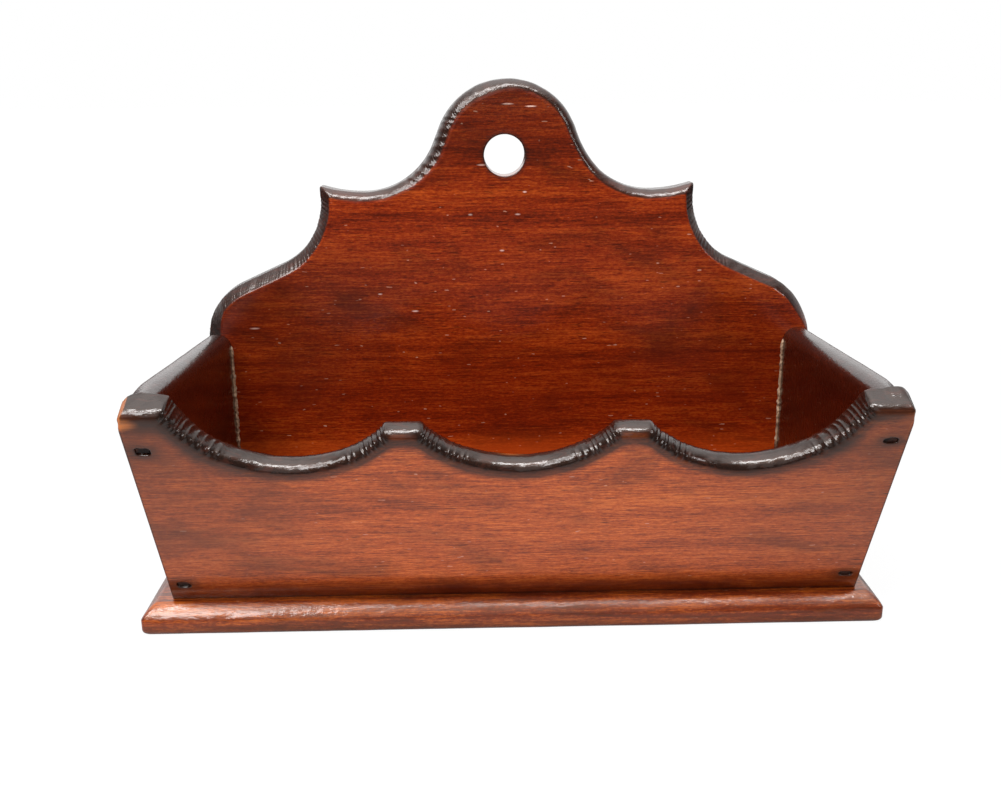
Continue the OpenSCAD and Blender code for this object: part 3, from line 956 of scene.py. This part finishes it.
# %% The base board itself
def base_nails():
    """(x, y, width, depth, seed) of each pocket below, from the boxes round the nails, whose outer heads
    end at the ends of those boxes."""
    for name in ("base_nails_front", "base_nails_back"):
        low, high = BOXES[name]
        for x in (low[0] + nail_head / 2, 0.0, high[0] - nail_head / 2):
            yield x, (low[1] + high[1]) / 2, pocket_long, pocket_short, 91
    for name in ("base_nails_left", "base_nails_right"):
        low, high = BOXES[name]
        for y in (low[1] + nail_head / 2, high[1] - nail_head / 2):
            yield (low[0] + high[0]) / 2, y, pocket_short, pocket_long, 92


def base_board_shell():
    """The base board's rings and pockets in (x, y, depth) below its top."""
    shell = Shell()
    top, bottom = shell.stack(*cut_base())
    pockets = [sink_pocket(shell, (x, y), wide, deep, seed, rear_at=base_t)
               for x, y, wide, deep, seed in base_nails()]
    shell.cap([top])
    shell.cap([bottom] + pockets, turned=True)
    return shell


def lying(points):
    """(x, y, depth) to x, y and z = base top - depth."""
    return np.column_stack((points[:, 0], points[:, 1], base_t - points[:, 2]))


base = finished_shell("base_board_dressed", base_board_shell(), lying, "base_wood", "base_board")

# %% [markdown]
# ## The side boards
#
# Each side board stands between the back and the front and climbs a little towards its horn. Its top
# is rubbed round, more on the inside than on the outside. A side is a loft: one section, carried from
# the back board to the front board, with its height following the climb.

# %% The section of a side board
side_round_out, side_round_in = 5.0, 6.2
# The height of a side board's top at the back board, and the points up each of its walls
crown_z = base_t + 96.2
WALL_STEPS = 13


def side_section(side_t):
    """Points round the section, from the outer foot over the top to the inner foot, as three columns:
    how far out from the inner face, how far below the top, and how much of the height is climbed. The
    two roundings are quarter circles, and they and the crown between them climb all of it."""
    outer = arc((side_t - side_round_out, side_round_out), side_round_out, 0, -90, 10)
    crown = line((side_t - side_round_out, 0), (side_round_in, 0), 5)[1:-1]
    inner = arc((side_round_in, side_round_in), side_round_in, -90, -180, 10)
    top = np.vstack([outer, crown, inner])
    climb_outer = np.linspace(0, 1, WALL_STEPS, endpoint=False)
    climb_inner = np.linspace(1, 0, WALL_STEPS + 1)[1:]
    return np.vstack([
        np.column_stack(np.broadcast_arrays(side_t, side_round_out, climb_outer)),
        np.column_stack((top, np.ones(len(top)))),
        np.column_stack(np.broadcast_arrays(0.0, side_round_in, climb_inner))])


print("a side board's section has", len(side_section(board_t)), "points")

# %% The side boards
# How unevenly the tops are worn, and how much lower their outer edges are at the horns
side_wear, horn_wear = 0.07, 1.9


def loft(name, rows, cap, side, marks, node):
    """A piece from sections in a row, closed by a flat cap at both ends. The right one is the left one
    turned over, so its quads are turned back to face outwards."""
    count = rows.shape[1]
    quads = band_faces(len(rows), count, 0)
    if side > 0:
        quads = quads[:, ::-1]
    caps = np.vstack([cap[:, ::-1], cap + (len(rows) - 1) * count])
    marks = dict(zip(MARKS, marks.T))
    piece = make_piece(name, rows.reshape(-1, 3) * MM, quads, caps, marks)
    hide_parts(node)
    return piece


def side_lines(side, along):
    """The foot line and the top line as (y, z), both straight from the back board to the leaning front
    board, whose inner face they meet."""
    up = horn_h - side * top_fall / 2
    heel_y = foot_y + board_t / lean_cos
    horn_y = foot_y - up * lean_sin + board_t * lean_cos
    horn_z = base_t + up * lean_cos + board_t * lean_sin
    foot = np.stack([back_y + along * (heel_y - back_y), base_t + 0 * along], axis=-1)
    crest = np.stack([back_y + along * (horn_y - back_y), crown_z + along * (horn_z - crown_z)], axis=-1)
    return foot, crest


def side_board(side, node):
    """One side board: at each place along it the section's points are set between the two lines. Its
    top is worn by up to 0.14 mm, and by more where its outer edge meets the horn."""
    low, high = BOXES[node]
    side_t = high[0] - low[0]
    out, below, climbing = side_section(side_t).T
    on_top = (climbing == 1).astype(float)
    along = np.linspace(0, 1, 150)[:, None]
    foot, crest = side_lines(side, along)
    way = (crest - foot) / np.linalg.norm(crest - foot, axis=2, keepdims=True)
    points = foot + (crest - way * below[None, :, None] - foot) * climbing[None, :, None]
    points[..., 1] += side_wear * (wobble(along * 140 + 0.8 * out, 11, 101 + side) - 1) * on_top
    points[..., 1] -= horn_wear * eased(along, 0.84, 1) * eased(out, side_t - 7.5, side_t - 1.5) * on_top
    x = side * (half_w - side_t + out) + 0 * along
    rows = np.dstack([x, points])
    cap = filled(np.column_stack((side * out, rows[0, :, 2])), [np.arange(len(out))], turned=False)
    dirt = np.clip(1 - below / side_round_in, 0, 1) * on_top
    marks = marks_of(x.size, bevel=np.tile(on_top, len(rows)), haze=np.tile(dirt, len(rows)))
    return loft(node + "_dressed", rows, cap, side, marks, node)


left_side = side_board(-1, "left_side_board")
right_side = side_board(1, "right_side_board")

# %% [markdown]
# ## Old glue
#
# Hot hide glue was run into the two rear corners, and it dried as a lumpy bead. A bead is a quarter
# tube that follows the corner, and its radius swells and shrinks with the smooth noise.

# %% The glue beads
glue_w = 2.4
# The bead's hidden spine lies this far inside the wood
glue_sunk = 0.3


def glue_bead(side, node):
    """Grid of a quarter tube: angle round the corner by height, radius = width times lumps. Both ends
    taper off."""
    low, high = BOXES[node]
    height = np.linspace(low[2], high[2], 240)[:, None]
    turn = np.radians(np.linspace(-4, 94, 11))[None, :]
    lumps = 0.40 + 0.13 * wobble(height + turn, 1.6, 111 + side) + 0.09 * wobble(height - turn, 0.7, 113)
    foot = eased(height, low[2] - 0.2, low[2] + 1.5)
    radius = glue_w * lumps * np.minimum(foot, 1 - 0.9 * eased(height, high[2] - 1.5, high[2]))
    corner_x = side * (half_w - board_t)
    x, y = corner_x - side * radius * np.cos(turn), back_y - radius * np.sin(turn)
    rows = np.dstack([x, y, height + 0 * turn])
    spine = np.dstack([np.full_like(height, corner_x + side * glue_sunk),
                       np.full_like(height, back_y + glue_sunk), height])
    rows = np.concatenate([rows, spine], axis=1)
    cap = filled(rows[0, :, :2], [np.arange(rows.shape[1])], turned=False)
    marks = marks_of(rows.shape[0] * rows.shape[1])
    return loft(node + "_dressed", rows, cap, side, marks, node)


glue_left = glue_bead(-1, "glue_bead_left")
glue_right = glue_bead(1, "glue_bead_right")

# %% [markdown]
# ## A first coat: materials as small networks of nodes
#
# Colours are given as sRGB hex values, the way a paint chart gives them, and Blender works in
# linear light, so one function turns them. A second one adds a node with its settings and links.

# %% Colour and nodes
def linear(code):
    """sRGB hex to linear RGBA: c / 12.92 below 0.04045, and ((c + 0.055) / 1.055) ^ 2.4 above."""
    c = np.array([int(code[i:i + 2], 16) for i in (1, 3, 5)]) / 255
    return (*np.where(c <= 0.04045, c / 12.92, ((c + 0.055) / 1.055) ** 2.4), 1.0)


def add(tree, kind, inputs=(), **settings):
    """Adds a node: settings are its properties, and inputs maps a socket's name or number to a value
    or to another node's output."""
    node = tree.nodes.new("ShaderNode" + kind)
    for key, value in settings.items():
        setattr(node, key, value)
    for key, value in dict(inputs).items():
        if isinstance(value, bpy.types.NodeSocket):
            tree.links.new(value, node.inputs[key])
        else:
            node.inputs[key].default_value = value
    return node


def stops(node, *pairs):
    """Gives a colour ramp its stops, as (position, colour) pairs."""
    ramp = node.color_ramp
    while len(ramp.elements) < len(pairs):
        ramp.elements.new(0.5)
    for element, (position, colour) in zip(ramp.elements, pairs):
        element.position, element.color = position, colour
    return node.outputs["Color"]


def grey(value):
    """A grey as linear RGBA."""
    return (value, value, value, 1.0)


def new_tree(name):
    """A new material and its empty tree of nodes."""
    material = bpy.data.materials.new(name)
    material.use_nodes = True
    material.node_tree.nodes.clear()
    return material, material.node_tree



def mixed(tree, share, a, b, kind="MIX"):
    """One colour mixed into another: a (1 - share) + b share, or the blend that kind names."""
    node = add(tree, "Mix", data_type="RGBA", blend_type=kind)
    for key, value in (("Factor", share), ("A", a), ("B", b)):
        socket = next(s for s in node.inputs if s.name == key and s.enabled)
        if isinstance(value, bpy.types.NodeSocket):
            tree.links.new(value, socket)
        else:
            socket.default_value = value
    return next(s for s in node.outputs if s.enabled)


print("the sRGB grey #808080 is", round(float(linear("#808080")[0]), 3), "in linear light")

# %% [markdown]
# Four more helpers say what a finish needs in a maker's words: noise drawn out along the grain, a value
# stretched to a new range, a soft patch at a place on the box, and the product of two values.

# %% Grain, ranges and patches
def grained(tree, vector, along, across, detail=3.0, roughness=0.55, distortion=0.0, seed=0.0, axis=0):
    """Noise drawn out along the grain: its coordinates are divided by the length of a streak along the
    board and by its width across it, both in metres."""
    sizes = [across, across, across]
    sizes[axis] = along
    shift = tuple(seed * s for s in (1.3, 2.1, 3.7))
    scaled = add(tree, "Mapping", {
        "Vector": vector, "Scale": tuple(1 / s for s in sizes), "Location": shift})
    noise = add(tree, "TexNoise", {
        "Vector": scaled.outputs[0], "Scale": 1.0, "Detail": detail, "Roughness": roughness,
        "Distortion": distortion})
    return noise.outputs["Fac"]


def ranged(tree, value, low, high, to_low=0.0, to_high=1.0):
    """A value stretched from one range to another, and clamped."""
    return add(tree, "MapRange", {
        "Value": value, "From Min": low, "From Max": high, "To Min": to_low,
        "To Max": to_high}).outputs[0]


def patch(tree, at, centre, reach):
    """A soft patch: 1 in the middle and 0 from its reach on. Its centre and its half sizes are in mm, and
    the coordinate is turned to (place - centre) / half size, whose length is the distance."""
    place = add(tree, "Mapping", {
        "Vector": at, "Scale": tuple(1 / (r * MM) for r in reach),
        "Location": tuple(-c / r for c, r in zip(centre, reach))})
    away = add(tree, "VectorMath", {0: place.outputs[0]}, operation="LENGTH").outputs["Value"]
    return add(tree, "MapRange", {"Value": away, "From Min": 1.0, "From Max": 0.2},
               interpolation_type="SMOOTHSTEP").outputs[0]


def times(tree, a, b, operation="MULTIPLY"):
    """The product of two values, or what another operation makes of them."""
    return add(tree, "Math", {0: a, 1: b}, operation=operation).outputs[0]


def layered(tree, parts):
    """The weighted sum of noises, each given as (weight, noise)."""
    total = times(tree, parts[0][1], parts[0][0])
    for weight, noise in parts[1:]:
        total = times(tree, total, times(tree, noise, weight), "ADD")
    return total


print("a patch of 10 mm scales its coordinate by", 1 / (10 * MM))

# %% [markdown]
# ## Shellacked wood
#
# The wood is fine-grained and was stained red-brown before the shellac went on. Close to, the eye
# finds: broad bands of lighter and darker wood along the grain, short streaks, hair-fine fibres, dark
# blotches where the stain pooled, little pores, and over it all a hard clear coat that shows small
# scratches. Each of these is one noise, drawn out along the grain to its real size.

# %% What the eye finds in the wood
# Each layer: the length and width of its marks in metres, the detail, roughness and distortion of its
# noise, and what it adds to the board's seed. Fibres and pores are a little coarser than the real
# ones, which are too fine to show. Rubs, scuffs, swells and hammer marks belong to the shellac
WOOD_LAYERS = {
    "bands": (0.220, 0.010, 2.0, 0.5, 0.3, 1),
    "streaks": (0.034, 0.0017, 3.0, 0.6, 0.3, 2),
    "fibres": (0.014, 0.00060, 3.0, 0.7, 0.0, 3),
    "pools": (0.050, 0.024, 4.0, 0.62, 0.6, 4),
    "pores": (0.0065, 0.00045, 1.0, 0.5, 0.0, 5),
    "rubs": (0.009, 0.003, 3.0, 0.6, 0.5, 6),
    "scuffs": (0.0009, 0.008, 2.0, 0.5, 0.8, 7),
    "swells": (0.030, 0.008, 2.0, 0.5, 0.0, 8),
    "flecks": (0.0022, 0.0007, 3.0, 0.75, 0.0, 9),
    "dents_and_glints": (0.0034, 0.0009, 0.0, 0.5, 0.0, 10),
    "hammered": (0.0028, 0.0012, 2.0, 0.5, 0.0, 11)}


def wood_noise(tree, at, seed, axis):
    """Every layer of WOOD_LAYERS as a noise along one axis, by its name."""
    return {name: grained(tree, at, *how, seed + number, axis)
            for name, (*how, number) in WOOD_LAYERS.items()}


def stained(tree, noise, stain, dirt, weights, contrast, blotches, dent_and_glint_share):
    """The stained wood: bands, streaks, fibres and flecks are summed and run through the stain's three
    colours, then the pools and pores darken it and pale dents lighten it, which also stand for painted
    glints."""
    names = ("bands", "streaks", "fibres", "flecks")
    figure = layered(tree, [(weight, noise[name]) for weight, name in zip(weights, names)])
    tone = ranged(tree, figure, 0.5 - contrast, 0.5 + contrast)
    ramp = add(tree, "ValToRGB", {"Fac": tone})
    colour = stops(ramp, *zip((0.0, 0.5, 1.0), map(linear, stain)))
    for share in (ranged(tree, noise["pools"], 0.50, 0.70, 0.0, blotches),
                  ranged(tree, noise["pores"], 0.64, 0.71, 0.0, 0.7)):
        colour = mixed(tree, share, colour, linear(dirt))
    # Pale specks: dents in the shellac, and painted glints of the light that such dents catch
    return mixed(tree, ranged(tree, noise["dents_and_glints"], 0.84, 0.87, 0.0, dent_and_glint_share), colour, linear("#C79A80"))


print("layers of the wood:", ", ".join(WOOD_LAYERS))

# %% [markdown]
# Age comes next. It isn't even either: the crest is darker than the foot, smoke hangs under the bevels
# and the horns are worn. A patch puts a colour where it belongs, and a noise breaks up its border, or
# it would look sprayed on. Some patches are painted shade where the box hides the light: low inside it,
# at the foot of the front board and along the base board. What the points carry as marks needs no patch.

# %% Age and shellac
def patched(tree, at, colour, patches, broken, least):
    """Soft patches of other colours, each given as (centre, reach, colour, share). Where the noise that
    breaks them up is low, only the least part of the share is left."""
    for centre, reach, tint, share in patches:
        spread = ranged(tree, broken, 0.35, 0.6, least * share, share)
        shade = times(tree, patch(tree, at, centre, reach), spread)
        colour = mixed(tree, shade, colour, linear(tint))
    return colour


def smoked(tree, noise, mark, colour, edge, edge_share, haze):
    """Smoke and dirt where the haze mark says so, and the bevel's own dark colours, of which the second
    shows where it was rubbed."""
    smoke = ranged(tree, times(tree, mark["haze"], noise["pools"], "ADD"), 0.62, 1.60, 0.0, haze)
    colour = mixed(tree, smoke, colour, linear("#20100A"))
    rubbed = ranged(tree, noise["rubs"], 0.54, 0.66)
    return mixed(tree, times(tree, mark["bevel"], edge_share), colour,
                 mixed(tree, rubbed, linear(edge[0]), linear(edge[1])))


def shellacked(tree, noise, mark, colour, sheen, coat_rough, edge_rough):
    """Wood under a hard clear coat, whose refractive index is that of shellac, about 1.5. The wood's
    relief is its grain, and the coat's is its own: long swells, and hammer marks on the bevels."""
    scuffed = times(tree, noise["pools"], noise["scuffs"], "ADD")
    rough = ranged(tree, scuffed, 0.75, 1.25, coat_rough, coat_rough + 0.16)
    pits = ranged(tree, noise["pores"], 0.64, 0.74)
    height = layered(tree, [(0.5, noise["streaks"]), (0.4, noise["fibres"]), (-0.4, pits)])
    grain_bump = add(tree, "Bump", {"Height": height, "Strength": 0.3, "Distance": 0.00012})
    hammered = times(tree, noise["hammered"], mark["bevel"])
    waves = layered(tree, [(0.7, noise["swells"]), (0.12, noise["fibres"]), (0.75, hammered)])
    coat_bump = add(tree, "Bump", {"Height": waves, "Strength": 0.3, "Distance": 0.0007})
    return add(tree, "BsdfPrincipled", {
        "Base Color": colour, "Roughness": times(tree, rough, 0.22, "ADD"), "IOR": 1.5,
        "Specular IOR Level": sheen, "Specular Tint": linear("#FFB884"),
        "Normal": grain_bump.outputs[0], "Coat Weight": 1.0, "Coat IOR": 1.5,
        "Coat Roughness": ranged(tree, mark["bevel"], 0.0, 1.0, coat_rough, edge_rough),
        "Coat Normal": coat_bump.outputs[0]})


def wood(name, stain, dirt, seed, axis=0, weights=(0.25, 0.3, 0.2, 0.25), contrast=0.13, blotches=0.5,
         edge=("#150C0A", "#301712"), edge_share=0.94, haze=0.0, dent_and_glint_share=0.6, sheen=0.15,
         coat_rough=0.12, edge_rough=0.18, patches=(), worn=()):
    """Shellacked wood. stain is its dark, middle and light colour, dirt that of its pores and pools, and
    axis the one along the grain. weights are the shares of bands, streaks, fibres and flecks, and
    contrast is how far they swing round the middle. blotches and haze say how strong the pools and the
    smoke are, and the share after them how strong the pale dents are, which also stand for painted glints.
    edge holds the bevel's two colours and edge_share how well they cover. sheen is the shine of the wood
    itself, and coat_rough and edge_rough are the roughness of the shellac on the faces and on the bevels.
    patches lie under the smoke and worn ones over it, and some of them are painted shade."""
    material, tree = new_tree(name)
    at = add(tree, "TexCoord").outputs["Object"]
    mark = {m: add(tree, "Attribute", attribute_name=m).outputs["Fac"] for m in MARKS}
    noise = wood_noise(tree, at, seed, axis)
    colour = stained(tree, noise, stain, dirt, weights, contrast, blotches, dent_and_glint_share)
    colour = patched(tree, at, colour, patches, noise["pools"], 0.6)
    colour = smoked(tree, noise, mark, colour, edge, edge_share, haze)
    colour = patched(tree, at, colour, worn, noise["streaks"], 0.4)
    colour = mixed(tree, mark["bare"], colour, linear("#B4652F"))
    colour = mixed(tree, times(tree, mark["rear"], 0.5), colour, linear(dirt))
    shader = shellacked(tree, noise, mark, colour, sheen, coat_rough, edge_rough)
    add(tree, "OutputMaterial", {"Surface": shader.outputs[0]})
    print("finish:", name, "with", len(tree.nodes), "nodes")
    return material

# %% [markdown]
# The four woods differ in stain, and each has its own history and some painted shade. The places of the
# patches are in millimetres on the box, and a reach of 200 or more means that this direction doesn't
# count.

# %% The back board's finish
scratches = [((x, 65, z), (long, 200, 0.55), "#E2BFAE", 0.85) for x, z, long in (
    (0.3, 218.2, 3.6), (11.2, 217.0, 3.4), (-12.4, 190.2, 2.8), (-125, 112, 3.2), (8.2, 177.3, 1.3),
    (-18, 166.7, 1.4), (4.8, 166.6, 1.8), (-2.9, 149.2, 1.5), (-45.8, 119.7, 2.2), (-62.7, 128.4, 1.4))]
# Dark: the crest and both shoulders, and a band low down inside the box, which is painted shade. Light:
# the foot, behind the front board
back_tones_and_shade = [
    ((0, 65, 240), (95, 200, 78), "#2A0B07", 0.85),
    ((0, 65, 78), (600, 200, 36), "#540C01", 0.5),
    ((-112, 65, 118), (85, 200, 60), "#360A04", 0.6),
    ((112, 65, 112), (70, 200, 50), "#360A04", 0.35),
    ((10, 65, 30), (400, 200, 30), "#BC4812", 0.85)]
back_wood = wood(
    "stained_wood_back", ("#480F04", "#7E2407", "#AA4714"), "#2C0A05", 3.0,
    weights=(0.22, 0.2, 0.28, 0.3), contrast=0.1, patches=back_tones_and_shade, worn=scratches)

# %% The front board's finish
def on_front(x, up):
    """The place on the leaning front face that lies up millimetres above its foot."""
    return x, foot_y - up * lean_sin, base_t + up * lean_cos


# Dark: the upper corners and both ends, where dirt gathers, and the joint with the base board: some dirt,
# and a painted shade where little light reaches the foot
front_dirt_and_shade = [
    ((-152, -70, 114), (85, 200, 62), "#472413", 0.52),
    ((152, -70, 112), (80, 200, 56), "#472413", 0.56),
    ((-165, -60, 66), (120, 200, 90), "#5C270F", 0.55),
    ((165, -60, 66), (120, 200, 90), "#5C270F", 0.45),
    ((0, -36, 14), (900, 200, 13), "#460D00", 1.0)]
nail_stains = [(on_front(side * nail_x, up), (10, 12, 6), "#241009", 0.8)
               for side in (-1, 1) for up in front_nails_up]
cracks = [(on_front(x, up), (long, 9, 0.45), "#1C0A05", 1.0) for x, up, long in (
    (148, 16.2, 7), (147, 19.4, 4.5), (-147, 14.5, 4), (150, 62, 4), (36, 47, 3.5))]
# Worn to the bare wood: the left horn's tip and edge, and less so the right one's
horn_patches = [
    ((-151, -77, 108.6), (10, 9, 3.6), "#C06C2C", 1.0),
    ((-150, -72, 112), (5, 8, 5), "#C06C2C", 0.8),
    ((150, -76, 105), (8, 8, 5), "#8A4018", 0.8)]
front_wood = wood(
    "stained_wood_front", ("#762E0D", "#A84716", "#CA6628"), "#431B0A", 11.0, haze=0.92,
    edge_rough=0.14, weights=(0.2, 0.1, 0.4, 0.3), contrast=0.08, blotches=0.5,
    patches=front_dirt_and_shade + nail_stains + cracks, worn=horn_patches)

# %% The finish of the sides and the base
# The sides' stain is nearly black: painted shade for their inner faces, which lie in the box's shade. A
# patch at each outer face gives back the red-brown of the real finish.
side_wood_painted_shade = wood(
    "stained_wood_sides_painted_shade", ("#0E0101", "#1A0201", "#2C0602"), "#090101", 23.0, axis=1,
    edge=("#2A100B", "#43190F"), edge_share=0.5, dent_and_glint_share=0.12,
    patches=[((side * 152, 0, 60), (9, 400, 400), "#5A1507", 0.9) for side in (-1, 1)])
# Painted shade: the lower rim towards the front, where the table's contact shadow falls, and the top,
# under the leaning front board, inside the box and beside it
base_painted_shade = [
    ((0, -40, 0), (900, 60, 6), "#2C120C", 0.75),
    ((0, 20, 13), (900, 56, 30), "#401206", 0.5)]
base_wood = wood(
    "stained_wood_base", ("#360B02", "#6A1F05", "#B85A1A"), "#240904", 37.0, blotches=0.6,
    contrast=0.08, edge=("#7E2C0E", "#B0501A"), edge_share=0.2, coat_rough=0.10, edge_rough=0.13,
    sheen=0.75, patches=base_painted_shade)

# %% [markdown]
# ## Iron nails and dried glue
#
# The nails were cut from iron plate, and two centuries have turned their heads black: dull, pitted and
# a little rusty at the rim. Dried hide glue is dull and crusty, with the colour of dusty toffee.

# %% Iron and glue
def crust(name, first, second, size, rough, metal, bump):
    """A dull crust of two colours in cells and grains of one real size, in metres."""
    material, tree = new_tree(name)
    at = add(tree, "TexCoord").outputs["Object"]
    grains = grained(tree, at, size, size, 4.0, 0.6, 0.3)
    patches = grained(tree, at, size * 5, size * 5, 3.0, 0.55, 0.2, 4.0)
    colour = mixed(tree, ranged(tree, patches, 0.4, 0.65), linear(first), linear(second))
    relief = add(tree, "Bump", {"Height": grains, "Strength": 0.6, "Distance": bump})
    shader = add(tree, "BsdfPrincipled", {
        "Base Color": colour, "Metallic": metal, "Normal": relief.outputs[0],
        "Roughness": ranged(tree, grains, 0.3, 0.7, rough - 0.1, rough + 0.1)})
    add(tree, "OutputMaterial", {"Surface": shader.outputs[0]})
    return material


nail_iron = crust("blackened_cut_iron", "#180D0A", "#4A271B", 0.0006, 0.6, 0.4, 0.0003)
old_glue = crust("dried_hide_glue", "#A08268", "#4A2A1C", 0.0008, 0.5, 0.0, 0.0004)
print("finishes:", nail_iron.name, "and", old_glue.name)

# %% The finishes go on
nails = [bpy.data.objects[node] for node in frame["nodes"] if "nails" in node]
for pieces, material in (
        ([back], back_wood), ([front], front_wood), ([left_side, right_side], side_wood_painted_shade),
        ([base], base_wood), ([glue_left, glue_right], old_glue), (nails, nail_iron)):
    for piece in pieces:
        piece.data.materials.clear()
        piece.data.materials.append(material)
    print(material.name, "on", len(pieces), "pieces")

# %% [markdown]
# ## The table, the light and the room
#
# The box was photographed on a white sweep, under soft light from above and from the front. The shellac
# mirrors what stands round it, so the white table in front and the darker room behind the camera do
# as much for the picture as the lamps do.

# %% Floor and backdrop
def white_sweep(name):
    """White matt paint. Cameras see it as white, with a trace of the real paint for the shadow. Mirror
    rays see the paint itself, shadows and all, as it fades into the dim room farther out."""
    material, tree = new_tree(name)
    at = add(tree, "TexCoord").outputs["Object"]
    away = add(tree, "VectorMath", {0: at}, operation="LENGTH").outputs["Value"]
    near = ranged(tree, away, 0.20, 0.46, 0.38, 0.08)
    paths = add(tree, "LightPath")
    tint = mixed(tree, paths.outputs["Is Glossy Ray"], grey(0.8), near)
    paint = add(tree, "BsdfDiffuse", {"Color": tint})
    white = add(tree, "Emission", {"Color": grey(1.0), "Strength": 1.04})
    seen = times(tree, paths.outputs["Is Camera Ray"], ranged(tree, away, 0.35, 1.0, 0.9, 1.0))
    blend = add(tree, "MixShader", {0: seen, 1: paint.outputs[0], 2: white.outputs[0]})
    add(tree, "OutputMaterial", {"Surface": blend.outputs[0]})
    return material


def plain_sheet(name, half, material):
    """A flat square sheet at height 0, of half the width half, kept out of the object."""
    mesh = bpy.data.meshes.new(name)
    corners = [(-half, -half, 0), (half, -half, 0), (half, half, 0), (-half, half, 0)]
    mesh.from_pydata(corners, [], [(0, 1, 2, 3)])
    sheet = bpy.data.objects.new(name, mesh)
    bpy.context.scene.collection.objects.link(sheet)
    mesh.materials.append(material)


table_half = 6
plain_sheet("table", table_half, white_sweep("white_sweep"))
print("the table is", 2 * table_half, "m wide")

# %% Lamps
# Each lamp: the direction that it stands in, its distance, width and height in metres, and its
# radiance, which is how bright its face looks where 1 is plain white
LAMPS = {
    "overhead_key": ((0.0, -0.36, 0.94), 1.2, 1.0, 0.28, 18),
    "window_left": ((-0.66, -0.30, 0.68), 1.2, 0.4, 0.5, 10),
    "window_front": ((-0.40, -0.64, 0.66), 1.2, 0.40, 0.36, 12),
    "window_right": ((0.8, -0.5, 0.45), 1.5, 0.25, 0.25, 10),
    "front_fill": ((-0.1, -0.95, 0.40), 1.6, 0.9, 0.9, 0.6)}


def lamp(name, direction, distance, wide, high, radiance):
    """A soft lamp that looks at the box: watts = pi times its area times its radiance."""
    aim = Vector((0, 0, 0.1))
    light = bpy.data.lights.new(name, "AREA")
    light.shape, light.size, light.size_y = "RECTANGLE", wide, high
    light.energy = math.pi * wide * high * radiance
    stand = bpy.data.objects.new(name, light)
    stand.location = aim + Vector(direction).normalized() * distance
    stand.rotation_euler = (aim - stand.location).to_track_quat("-Z", "Y").to_euler()
    bpy.context.scene.collection.objects.link(stand)
    print(f"{name}: {light.energy:.1f} W")


for name, where in LAMPS.items():
    lamp(name, *where)

# %% [markdown]
# The room is three rooms in one. The camera sees plain white. What the shellac mirrors is dim towards
# the camera and bright behind the box and overhead, and everything else gets a little even light.

# %% The room
world = bpy.data.worlds.new("studio")
bpy.context.scene.world = world
world.use_nodes = True
room = world.node_tree
room.nodes.clear()


def room_light(strength):
    """White light from all round, of one strength or of one for each direction."""
    return add(room, "Background", {"Color": grey(1.0), "Strength": strength}).outputs[0]


paths = add(room, "LightPath").outputs
direction = add(room, "SeparateXYZ", {0: add(room, "TexCoord").outputs["Generated"]})
behind = ranged(room, direction.outputs["Y"], -0.1, 0.5, 0.10, 1.0)
above = ranged(room, direction.outputs["Z"], 0.6, 0.95, 0.0, 2.4)
mirrored_room = room_light(times(room, behind, above, "MAXIMUM"))
lit = add(room, "MixShader", {0: paths["Is Glossy Ray"], 1: room_light(0.15), 2: mirrored_room})
seen = add(room, "MixShader", {0: paths["Is Camera Ray"], 1: lit.outputs[0], 2: room_light(1.0)})
add(room, "OutputWorld", {"Surface": seen.outputs[0]})
bpy.context.scene.view_settings.view_transform = "Standard"
print("nodes of the room:", len(room.nodes))

# %% [markdown]
# ## The camera
#
# The camera was found from the box's own straight edges: where they meet gives its turn and its height,
# and the width of the base gives its distance. It stands at a table's seat, looking slightly down.

# %% The camera
yaw, pitch, roll = 0.0213, 0.287, -0.00827
camera_place = (-15.7, -475.8, 237.0)
focal_length, sensor_width = 40.27, 36.0
level_right = Vector((math.cos(yaw), -math.sin(yaw), 0))
look = Vector((math.sin(yaw) * math.cos(pitch), math.cos(yaw) * math.cos(pitch), -math.sin(pitch)))
level_up = level_right.cross(look)
right_way = math.cos(roll) * level_right + math.sin(roll) * level_up
up_way = -math.sin(roll) * level_right + math.cos(roll) * level_up
lens = bpy.data.cameras.new("portrait")
lens.lens, lens.sensor_width, lens.sensor_fit = focal_length, sensor_width, "HORIZONTAL"
lens.clip_start, lens.clip_end = 0.01, 50.0
camera = bpy.data.objects.new("portrait", lens)
turned = Matrix((right_way, up_way, -look)).transposed().to_4x4()
camera.matrix_world = Matrix.Translation(Vector(camera_place) * MM) @ turned
bpy.context.scene.collection.objects.link(camera)
bpy.context.scene.camera = camera
print("the camera stands at", camera_place, "and looks down by", round(math.degrees(pitch), 1), "degrees")
